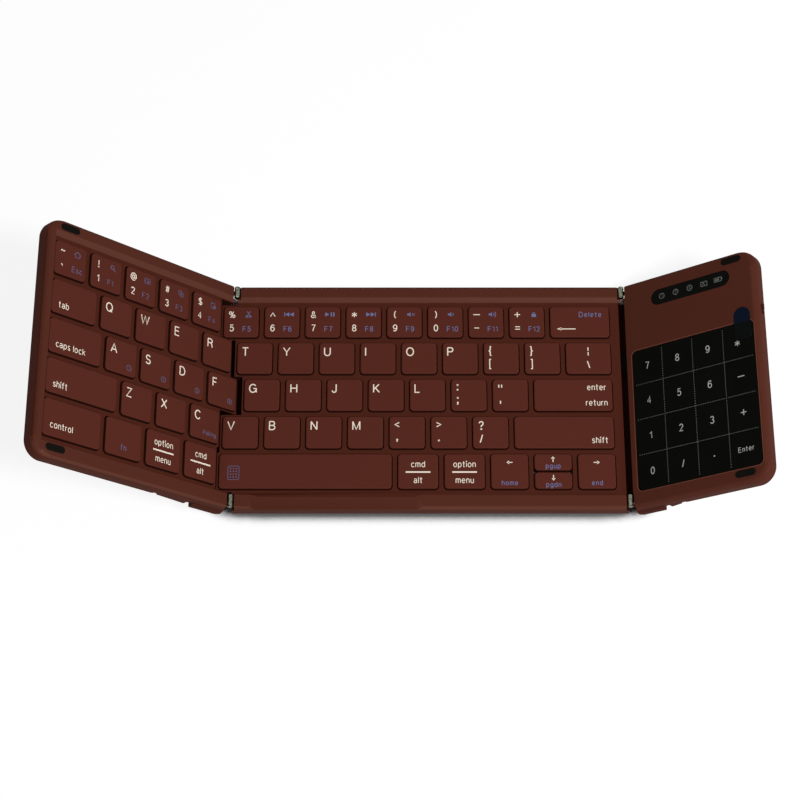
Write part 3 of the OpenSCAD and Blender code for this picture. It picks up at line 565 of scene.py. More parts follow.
@dataclass(frozen=True)
class TracedFilm(Coat):
    """Dark film of a flat cable, with copper traces under it."""

    copper: Colour
    trace_pitch: float = 0.6

    def material(self) -> bpy.types.Material:
        """Builds the material.

        Returns:
            The material.
        """
        paint = Paint(self.name)
        across = paint.add("ShaderNodeSeparateXYZ",
                           {0: paint.millimetres((1, 1 / self.trace_pitch, 1))}, "Y")
        trace = (across.fract() - 0.5) > 0
        return paint.finished(trace, (self.colour, self.copper), 0.42 - trace * 0.12,
                              (trace, 0.02), Specular_IOR_Level=0.03)


@dataclass(frozen=True)
class SolderMask(Coat):
    """Circuit board under its lacquer, with faint tracks."""

    track: Colour

    def material(self) -> bpy.types.Material:
        """Builds the material.

        Returns:
            The material.
        """
        paint = Paint(self.name)
        cells = paint.add("ShaderNodeTexVoronoi", {
            "Vector": paint.millimetres((0.7, 0.7, 0.7)), "Scale": 1.0, "Randomness": 0.6},
            feature="DISTANCE_TO_EDGE")
        line = cells > 0.09
        return paint.finished(line, (self.track, self.colour), 0.35 + paint.noise(4) * 0.1,
                              (line, 0.02))


class Finish(Enum):
    """The finishes of the keyboard, and the record's slot that each belongs to."""

    CAP = (MouldedPlastic("cap_moulding", srgb(85, 41, 32), 0.46), "cap_plastic")
    SHELL = (MouldedPlastic("shell_moulding", srgb(82, 42, 32), 0.5), "shell_plastic")
    TRAY = (MouldedPlastic("tray_moulding", srgb(72, 36, 27), 0.6), "tray_plastic")
    # Painted shade: the caps' steep side walls, darker than the tops.
    CAP_SIDE = (MouldedPlastic("cap_side", srgb(46, 21, 15), 0.6), "cap_plastic")
    # Painted shade: the flat web between the caps, darker than the rim.
    WEB = (MouldedPlastic("key_field", srgb(73, 34, 24), 0.55), "shell_plastic")
    # Painted shade: walls inside the key openings and the hinge pockets.
    RECESS = (MouldedPlastic("recess_walls", srgb(40, 19, 14), 0.65), "shell_plastic")
    # Painted highlight: ledge slopes that face up and forward, lighter than the shell.
    LEDGE = (MouldedPlastic("lit_ledge", srgb(93, 54, 43), 0.45), "shell_plastic")
    STEEL = (BrushedSteel("hinge_steel", srgb(150, 152, 132), 0.2, 0.7, 0.25), "steel")
    # Painted shade: hinge leaf faces off the barrels, dark as their pockets.
    DARK_STEEL = (BrushedSteel("blackened_steel", srgb(34, 30, 27), 0.5), "steel")
    PLATE = (BrushedSteel("plate_steel", srgb(120, 120, 116), 0.45), "steel")
    DOME = (Rubber("dome_silicone", srgb(120, 118, 110), 0.55), "dome_rubber")
    RUBBER = (Rubber("bumper_rubber", srgb(19, 17, 14)), "black_rubber")
    FOIL = (CrinkledFoil("cell_foil", srgb(200, 202, 205)), "battery_foil")
    FILM = (TracedFilm("cable_film", srgb(16, 12, 10), srgb(26, 18, 13)), "flex_film")
    GLASS = (GlossBlack("pad_gloss", srgb(11, 12, 9)), "touch_surface")
    WINDOW = (GlossBlack("window_gloss", srgb(14, 15, 13), 0.12), "window_plastic")
    BOARD = (SolderMask("board_lacquer", srgb(16, 60, 34), srgb(34, 90, 50)), "circuit_board")
    CHIP = (MouldedPlastic("chip_resin", srgb(28, 28, 30), 0.6), "circuit_board")
    LAMP = (MouldedPlastic("lamp_resin", srgb(225, 222, 205), 0.3, 0.3), "lamp_plastic")
    KNOB = (MouldedPlastic("knob_moulding", srgb(70, 32, 25), 0.5), "switch_plastic")
    SOCKET_CORE = (MouldedPlastic("socket_resin", srgb(24, 23, 22), 0.5), "steel")
    TAB = (GlossBlack("tab_film", srgb(14, 23, 38), 0.2), "pull_film")
    TAB_OVER_GLASS = (GlossBlack("tab_film_over_gloss", srgb(14, 16, 16), 0.2), "pull_film")
    # Painted highlight: a thin bright ring on the frame round the touch pad.
    EDGE = (MouldedPlastic("bright_edge", srgb(120, 70, 54), 0.35, 0.1), "shell_plastic")
    WHITE = (Ink("white_ink", srgb(242, 229, 212)), None)
    BLUE = (Ink("blue_ink", srgb(110, 118, 160)), None)
    DIM_BLUE = (Ink("dim_blue_ink", srgb(98, 97, 128)), None)
    GREY = (Ink("grey_ink", srgb(186, 188, 180)), None)
    DIM = (Ink("dim_ink", srgb(122, 126, 118)), None)

    @property
    def slot(self) -> str | None:
        """Name of the record's material slot, if there is one."""
        return self.value[1]

    def material(self) -> bpy.types.Material:
        """The finish's material, made when it is first asked for."""
        found = bpy.data.materials.get(self.value[0].name)
        return found or self.value[0].material()


# Mesh helpers

WELD = 0.002
FLAT_ANGLE = math.radians(0.6)
EDGE_ANGLE = math.radians(40)


def outline(width: float, depth: float, radius: float, inset: float = 0.0,
            steps: int = 6) -> list[Point]:
    """Draws a rounded rectangle with its left front corner at the origin.

    Args:
        width: Size along X.
        depth: Size along Y.
        radius: Corner radius.
        inset: How far the line lies inside the rectangle.
        steps: Steps in each corner.

    Returns:
        Points anticlockwise, always the same number for the same steps.
    """
    r = max(radius - inset, 0.02)
    low, right, rear = inset + r, width - inset - r, depth - inset - r
    centres = ((right, rear, 0), (low, rear, 90), (low, low, 180), (right, low, 270))
    points: list[Point] = []
    for x, y, start in centres:
        for i in range(steps + 1):
            angle = math.radians(start + 90 * i / steps)
            points.append((x + r * math.cos(angle), y + r * math.sin(angle)))
    return points


class Shape:
    """A mesh under construction, in millimetres."""

    def __init__(self) -> None:
        """Starts an empty mesh."""
        self.bm = bmesh.new()

    def loft(self, loops: Sequence[Sequence[Vector]], closed: bool = False) -> None:
        """Joins closed loops one after the other.

        Args:
            loops: Loops with the same number of points.
            closed: True to join the last loop to the first, else both get a face.
        """
        rings = [[self.bm.verts.new(p) for p in loop] for loop in loops]
        count = len(rings[0])
        pairs = list(zip(rings, rings[1:])) + ([(rings[-1], rings[0])] if closed else [])
        for lower, upper in pairs:
            for i in range(count):
                j = (i + 1) % count
                self.bm.faces.new((lower[i], lower[j], upper[j], upper[i]))
        if not closed:
            self.bm.faces.new(rings[0][::-1])
            self.bm.faces.new(rings[-1])

    def rounded_slab(self, corner: Point, size: Point, radius: float,
                     profile: Sequence[Point], steps: int = 6) -> None:
        """Builds a rounded slab whose sides follow a profile.

        Args:
            corner: Left front corner.
            size: Width and depth.
            radius: Corner radius.
            profile: Insets and heights, from one end face to the other.
            steps: Steps in each corner.
        """
        self.loft([[Vector((corner[0] + x, corner[1] + y, z))
                    for x, y in outline(*size, radius, inset, steps)]
                   for inset, z in profile])

    def box(self, low: Sequence[float], high: Sequence[float], edge: float = 0.05) -> None:
        """Builds a box with its upper and lower edges broken.

        Args:
            low: Lowest corner.
            high: Highest corner.
            edge: Width of the broken edges.
        """
        self.rounded_slab((low[0], low[1]), (high[0] - low[0], high[1] - low[1]), edge, (
            (edge, low[2]), (0, low[2] + edge), (0, high[2] - edge), (edge, high[2])), 2)

    def lathe(self, profile: Sequence[Point], centre: Sequence[float] = (0, 0),
              sides: int = 24) -> None:
        """Turns a profile round an upright axis.

        Args:
            profile: Radii and heights, from one end face to the other.
            centre: Place of the axis.
            sides: Number of sides.
        """
        turns = [2 * math.pi * i / sides for i in range(sides)]
        self.loft([[Vector((centre[0] + r * math.cos(a), centre[1] + r * math.sin(a), z))
                    for a in turns] for r, z in profile])

    def mesh(self, name: str, smooth: float = 35.0, outward: bool = True) -> bpy.types.Mesh:
        """Ends the construction.

        Args:
            name: Name of the mesh.
            smooth: Edges flatter than this many degrees are shaded smooth.
            outward: True to turn all faces outwards.

        Returns:
            The mesh, still in millimetres.
        """
        if outward:
            bmesh.ops.recalc_face_normals(self.bm, faces=self.bm.faces[:])
        made = bpy.data.meshes.new(name)
        self.bm.to_mesh(made)
        self.bm.free()
        made.polygons.foreach_set("use_smooth", [True] * len(made.polygons))
        made.set_sharp_from_angle(angle=math.radians(smooth))
        return made


def evaluated(holder: bpy.types.Object) -> bpy.types.Mesh:
    """Turns an object with its modifiers into a plain mesh.

    Args:
        holder: The object, which is removed.

    Returns:
        The mesh.
    """
    bpy.context.view_layer.update()
    graph = bpy.context.evaluated_depsgraph_get()
    made = bpy.data.meshes.new_from_object(holder.evaluated_get(graph), depsgraph=graph)
    bpy.data.objects.remove(holder)
    return made


def held(data: bpy.types.ID, name: str = "holder") -> bpy.types.Object:
    """Puts a mesh, a lamp or a camera in the scene.

    Args:
        data: The mesh, lamp or camera.
        name: Name of the object.

    Returns:
        The object.
    """
    holder = bpy.data.objects.new(name, data)
    bpy.context.scene.collection.objects.link(holder)
    return holder


def cad_shape(node: str, section: Section, highest: float = 99.0) -> Shape:
    """Copies a CAD node's mesh and joins its loose triangles.

    Args:
        node: The CAD node.
        section: Its section.
        highest: What is higher than this is pressed down to it.

    Returns:
        The shape in the section's flat frame.
    """
    shape = Shape()
    bm = shape.bm
    bm.from_mesh(frame["nodes"][node].data)
    bm.transform(section.place.inverted())
    bmesh.ops.remove_doubles(bm, verts=bm.verts[:], dist=WELD)
    for vert in bm.verts:
        vert.co.z = min(vert.co.z, highest)
    bmesh.ops.dissolve_limit(bm, angle_limit=FLAT_ANGLE, verts=bm.verts[:], edges=bm.edges[:])
    return shape


def softened(node: str, section: Section, width: float, steps: int = 2,
             seam: float | None = None, lowest: float = -99.0) -> bpy.types.Mesh:
    """Copies a CAD node's mesh and rounds its edges.

    Args:
        node: The CAD node.
        section: Its section.
        width: Width of the rounding, in millimetres.
        steps: Steps across the rounding.
        seam: Place along Y of a seam in its flat faces, if it has one.
        lowest: Edges that reach below this height stay sharp.

    Returns:
        The mesh in the section's flat frame.
    """
    shape = cad_shape(node, section)
    bm = shape.bm
    if seam is not None:
        bmesh.ops.bisect_plane(bm, geom=bm.verts[:] + bm.edges[:] + bm.faces[:], dist=0.0001,
                               plane_co=(0, seam, 0), plane_no=(0, 1, 0))
    weight = bm.edges.layers.float.new("bevel_weight_edge")
    for edge in bm.edges:
        high = min(vert.co.z for vert in edge.verts) > lowest
        edge[weight] = float(high and edge.calc_face_angle(0) > EDGE_ANGLE)
    made = shape.mesh(node, outward=False)
    if not width:
        return made
    holder = held(made)
    bevel = holder.modifiers.new("rounding", "BEVEL")
    bevel.width = width
    bevel.segments = steps
    bevel.limit_method = "WEIGHT"
    bevel.use_clamp_overlap = True
    even = holder.modifiers.new("flat_faces", "WEIGHTED_NORMAL")
    even.mode = "FACE_AREA"
    even.weight = 100
    even.keep_sharp = True
    return evaluated(holder)


def add_piece(name: str, mesh: bpy.types.Mesh, section: Section,
              finish: Finish | Sequence[Finish] = (), replaces: Iterable[str] = (),
              body: str | None = None, rides: bool = True,
              pick: Callable[[bpy.types.MeshPolygon], int] | None = None) -> bpy.types.Object:
    """Args:
        name: Name of the piece.
        mesh: Its mesh in the section's flat frame.
        section: Its section.
        finish: Its finish or finishes, or none if the mesh has its materials already.
        replaces: CAD nodes that it stands for.
        body: The body it rides on, if that isn't the section's.
        rides: False for a piece that is attached to no body.
        pick: Tells which of the finishes a face has.

    Returns:
        The object.
    """
    finishes = (finish,) if isinstance(finish, Finish) else finish
    if finishes:
        mesh.materials.clear()
    for each in finishes:
        mesh.materials.append(each.material())
    for face in mesh.polygons if pick else ():
        face.material_index = pick(face)
    mesh.transform(section.place)
    mesh.name = name
    piece = held(mesh, name)
    if finishes and finishes[0].slot:
        finishes[0].slot
    if rides:
        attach(piece, body or section.body)
    if replaces:
        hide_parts(*replaces)
    LOG.info("%s: %d faces on %s", name, len(mesh.polygons), body or section.body)
    return piece


# Geometry Nodes


class CopyTree(Nodes):
    """A Geometry Nodes tree that repeats a shape, under construction."""

    def __init__(self, name: str, inputs: dict[str, str]) -> None:
        """Starts a tree with a geometry input and the named ones.

        Args:
            name: Name of the tree.
            inputs: Kinds of the named inputs.
        """
        super().__init__(bpy.data.node_groups.new(name, "GeometryNodeTree"))
        face = self.tree.interface
        for label, kind in {"Geometry": "Geometry", **inputs}.items():
            face.new_socket(label, in_out="INPUT", socket_type=f"NodeSocket{kind}")
        face.new_socket("Geometry", in_out="OUTPUT", socket_type="NodeSocketGeometry")

    def given(self, label: str) -> Field:
        """One of the tree's inputs."""
        return self.add("NodeGroupInput", {}, label)

    def end(self, instances: Field) -> bpy.types.NodeTree:
        """Ends the tree with real geometry in its finish.

        Args:
            instances: The repeated shape.

        Returns:
            The tree.
        """
        real = self.add("GeometryNodeRealizeInstances", {"Geometry": instances})
        dressed = self.add("GeometryNodeSetMaterial", {
            "Geometry": real, "Material": self.given("Finish")})
        self.add("NodeGroupOutput", {"Geometry": dressed})
        return self.tree


@cache
def grid_tree() -> bpy.types.NodeTree:
    """Builds the tree that repeats a shape in rows and columns.

    Returns:
        The tree, with the inputs Columns, Pitch, Rows, Row Pitch and Finish.
    """
    made = CopyTree("grid_of_copies", {
        "Columns": "Int", "Pitch": "Float", "Rows": "Int", "Row Pitch": "Float",
        "Finish": "Material"})
    shape = made.given("Geometry")
    for count, pitch, axis in (("Columns", "Pitch", "X"), ("Rows", "Row Pitch", "Y")):
        step = made.add("ShaderNodeCombineXYZ", {axis: made.given(pitch)})
        line = made.add("GeometryNodeMeshLine", {"Count": made.given(count), "Offset": step})
        shape = made.add("GeometryNodeInstanceOnPoints", {"Points": line, "Instance": shape})
    return made.end(shape)


@cache
def places_tree() -> bpy.types.NodeTree:
    """Builds the tree that puts a shape at each vertex of a mesh.

    Returns:
        The tree, with the inputs Shape and Finish.
    """
    made = CopyTree("copies_at_places", {"Shape": "Object", "Finish": "Material"})
    shape = made.add("GeometryNodeObjectInfo", {"Object": made.given("Shape")}, "Geometry")
    return made.end(made.add("GeometryNodeInstanceOnPoints", {
        "Points": made.given("Geometry"), "Instance": shape}))


def run_tree(mesh: bpy.types.Mesh, tree: bpy.types.NodeTree,
             inputs: dict[str, object]) -> bpy.types.Mesh:
    """Runs a tree on a mesh.

    Args:
        mesh: The mesh that the tree starts from.
        tree: The tree.
        inputs: Its inputs by name.

    Returns:
        The plain mesh that comes out.
    """
    holder = held(mesh)
    modifier = holder.modifiers.new("copies", "NODES")
    modifier.node_group = tree
    for item in tree.interface.items_tree:
        if item.in_out == "INPUT" and item.name in inputs:
            modifier[item.identifier] = inputs[item.name]
    return evaluated(holder)


def in_grid(mesh: bpy.types.Mesh, finish: Finish, columns: int, pitch: float,
            rows: int = 1, row_pitch: float = 0.0) -> bpy.types.Mesh:
    """Repeats a mesh in columns along X and rows along Y."""
    return run_tree(mesh, grid_tree(), {
        "Columns": columns, "Pitch": pitch, "Rows": rows, "Row Pitch": row_pitch,
        "Finish": finish.material()})


def at_places(mesh: bpy.types.Mesh, finish: Finish,
              places: Iterable[Sequence[float]]) -> bpy.types.Mesh:
    """Repeats a mesh at given places.

    Args:
        mesh: The mesh.
        finish: Its finish.
        places: The places.

    Returns:
        All copies in one mesh.
    """
    points = bpy.data.meshes.new("places")
    points.from_pydata([tuple(p) for p in places], [], [])
    shape = held(mesh)
    made = run_tree(points, places_tree(), {"Shape": shape, "Finish": finish.material()})
    bpy.data.objects.remove(shape)
    return made


def front_and_rear(xs: Iterable[float], y: float, z: float) -> list[Triple]:
    """Places along X at the front and at the rear."""
    return [(x, side * y, z) for x in xs for side in (-1, 1)]


# Printed marks


class Align(Enum):
    """Which point of a mark stands at its place along X."""

    LEFT = 0.0
    CENTRE = 0.5
    RIGHT = 1.0


@dataclass(frozen=True)
class Mark:
    """A printed text or drawing on a cap, from the cap's left and rear edges.

    A drawing has the height 0. A text that isn't centred stands by its capitals.
    """

    text: str
    x: float
    y: float
    height: float
    ink: Finish = Finish.WHITE
    align: Align = Align.LEFT
    centred: bool = True
    from_right: bool = False
    stroke: float = 0.125
    spacing: float = 0.13
    scale: float = 1.0


def arc(x: float, y: float, radius: float, start: float, end: float,
        steps: int = 10) -> list[Point]:
    """Points on an arc, angles in degrees."""
    turns = [math.radians(start + (end - start) * i / steps) for i in range(steps + 1)]
    return [(x + radius * math.cos(a), y + radius * math.sin(a)) for a in turns]


def rectangle(x: float, y: float, width: float, height: float) -> list[Point]:
    """Corners of a rectangle about a point, the first one again at the end."""
    a, b = width / 2, height / 2
    return [(x - a, y - b), (x + a, y - b), (x + a, y + b), (x - a, y + b), (x - a, y - b)]


def arrow(length: float, head: float, half: float) -> tuple[list[Point], list[Point]]:
    """Line and head of an arrow to the left about the origin."""
    tip = -length / 2
    return [(tip + head * 0.6, 0), (length / 2, 0)], [(tip, 0), (tip + head, -half),
                                                      (tip + head, half)]


SPEAKER = [(-1.7, -0.35), (-1.1, -0.35), (-0.4, -0.95), (-0.4, 0.95), (-1.1, 0.35),
           (-1.7, 0.35)]
SHORT_LINE, SHORT_HEAD = arrow(2.3, 0.95, 0.75)
LONG_LINE, LONG_HEAD = arrow(7.4, 1.9, 0.62)


def turned(points: Iterable[Point], quarter_turns: int) -> list[Point]:
    """Turns points anticlockwise by quarters about the origin."""
    ways = {1: lambda x, y: (-y, x), 2: lambda x, y: (-x, -y), 3: lambda x, y: (y, -x)}
    return [ways[quarter_turns](x, y) for x, y in points]


# A drawing is a list of filled areas (line width 0) and lines, in millimetres
DRAWINGS: dict[str, list[tuple[float, list[Point]]]] = {
    "previous": [(0, rectangle(-1.85, 0, 0.3, 1.8)[:4]),
                 (0, [(-1.65, 0), (0, -0.9), (0, 0.9)]), (0, [(0.1, 0), (1.8, -0.9), (1.8, 0.9)])],
    "next": [(0, rectangle(1.85, 0, 0.3, 1.8)[:4]),
             (0, [(1.65, 0), (0, 0.9), (0, -0.9)]), (0, [(-0.1, 0), (-1.8, 0.9), (-1.8, -0.9)])],
    "play": [(0, [(-1.9, -0.9), (-0.3, 0), (-1.9, 0.9)]), (0, rectangle(0.5, 0, 0.5, 1.8)[:4]),
             (0, rectangle(1.5, 0, 0.5, 1.8)[:4])],
    "mute": [(0, SPEAKER), (0.22, [(0.2, -0.5), (1.2, 0.5)]), (0.22, [(0.2, 0.5), (1.2, -0.5)])],
    "quieter": [(0, SPEAKER), (0.25, arc(-0.5, 0, 0.9, -45, 45, 6))],
    "louder": [(0, SPEAKER), (0.25, arc(-0.5, 0, 0.9, -45, 45, 6)),
               (0.25, arc(-0.5, 0, 1.6, -45, 45, 8))],
    "lock": [(0, rectangle(0, -0.45, 1.7, 1.2)[:4]), (0.28, arc(0, 0.25, 0.5, 0, 180, 8))],
    "home": [(0.26, [(-1.5, -0.05), (0, 1.2), (1.5, -0.05)]),
             (0.26, [(-1.0, 0.2), (-1.0, -1.0), (1.0, -1.0), (1.0, 0.2)])],
    "search": [(0.28, arc(-0.25, 0.3, 0.75, 0, 360, 14)), (0.34, [(0.25, -0.25), (1.1, -1.15)])],
    "select": [(0.22, rectangle(0, 0, 2.5, 1.9)), (0, rectangle(0.4, -0.15, 0.9, 0.7)[:4]),
               (0.2, [(-0.8, -0.5), (-0.8, 0.5)])],
    "copy": [(0.22, rectangle(-0.35, 0.3, 1.4, 1.6)), (0.22, rectangle(0.45, -0.35, 1.4, 1.6))],
    "paste": [(0.24, rectangle(-0.2, 0, 1.8, 2.2)), (0, rectangle(-0.2, 1.05, 0.9, 0.4)[:4]),
              (0, rectangle(0.6, -0.5, 1.2, 1.2)[:4])],
    "cut": [(0.22, arc(-0.65, -0.9, 0.4, 0, 360, 10)), (0.22, arc(0.65, -0.9, 0.4, 0, 360, 10)),
            (0.22, [(-0.45, -0.55), (0.6, 1.3)]), (0.22, [(0.45, -0.55), (-0.6, 1.3)])],
    "left": [(0.35, SHORT_LINE), (0, SHORT_HEAD)],
    **{name: [(0.35, turned(SHORT_LINE, turns)), (0, turned(SHORT_HEAD, turns))]
       for name, turns in (("up", 3), ("down", 1), ("right", 2))},
    "long_left": [(0.4, LONG_LINE), (0, LONG_HEAD)],
    "bar": [(0, rectangle(0, 0, 9.4, 0.6)[:4])],
    "split_bar": [(0, rectangle(0, 1.0, 0.4, 1.4)[:4]), (0, rectangle(0, -1.0, 0.4, 1.4)[:4])],
    "number_pad": [(0.22, [(x - 2.1, y - 2.75) for x, y in outline(4.2, 5.5, 0.6, 0, 3)]
                    + [(2.1, 2.15)]),
                   *[(0, rectangle(x, y, 0.5, 0.5)[:4])
                     for x in (-1.1, 0.0, 1.1) for y in (-1.7, -0.57, 0.57, 1.7)]],
    "ring": [(0.2, arc(0, 0, 1.05, 0, 360, 18))],
    "signal": [(0.22, arc(0, 0, 1.05, 0, 360, 18)), (0, arc(0, 0, 0.4, 0, 330, 8))],
    "capital": [(0.2, rectangle(0.1, -0.1, 2.4, 1.6)),
                (0.2, [(-0.6, -0.6), (-0.1, 0.5), (0.4, -0.6)])],
    "battery": [(0.2, rectangle(0, 0, 2.7, 1.5)), (0, rectangle(1.55, 0, 0.3, 0.7)[:4]),
                (0, rectangle(-0.65, 0, 0.5, 0.8)[:4]), (0, rectangle(0.15, 0, 0.5, 0.8)[:4])],
}


def bow(x: float, y: float, rx: float, ry: float, start: float = 0,
        end: float = 360) -> list[Point]:
    """Points on an oval arc, angles in degrees."""
    steps = max(4, round(abs(end - start) / 24))
    return [(x + rx * px, y + ry * py) for px, py in arc(0, 0, 1, start, end, steps)]


@dataclass(frozen=True)
class Glyph:
    """Middle lines of a sign's strokes, with capitals one unit high."""

    width: float
    lines: list[list[Point]]

    def flipped(self) -> "Glyph":
        """The sign mirrored left to right."""
        return Glyph(self.width, [[(self.width - x, y) for x, y in line][::-1]
                                  for line in self.lines])


def post(x: float, low: float = 0.0, high: float = 1.0) -> list[Point]:
    """An upright stroke."""
    return [(x, low), (x, high)]


def beam(y: float, left: float, right: float) -> list[Point]:
    """A level stroke."""
    return [(left, y), (right, y)]


def dot(y: float, x: float = 0.0) -> list[Point]:
    """A round point with its middle at a height."""
    return bow(x, y, 0.05, 0.05)


LOW_BOWL = bow(0.24, 0.36, 0.24, 0.36)
ARCH = [(0, 0.42)] + bow(0.215, 0.5, 0.215, 0.22, 170, 0) + [(0.43, 0)]
ESS = bow(0.29, 0.745, 0.26, 0.255, 22, 262) + bow(0.29, 0.25, 0.29, 0.25, 84, -160)
LOW_ESS = bow(0.19, 0.54, 0.17, 0.18, 22, 262) + bow(0.19, 0.18, 0.19, 0.18, 84, -160)
CUP = [(0, 1)] + bow(0.33, 0.34, 0.33, 0.34, 180, 360) + [(0.66, 1)]

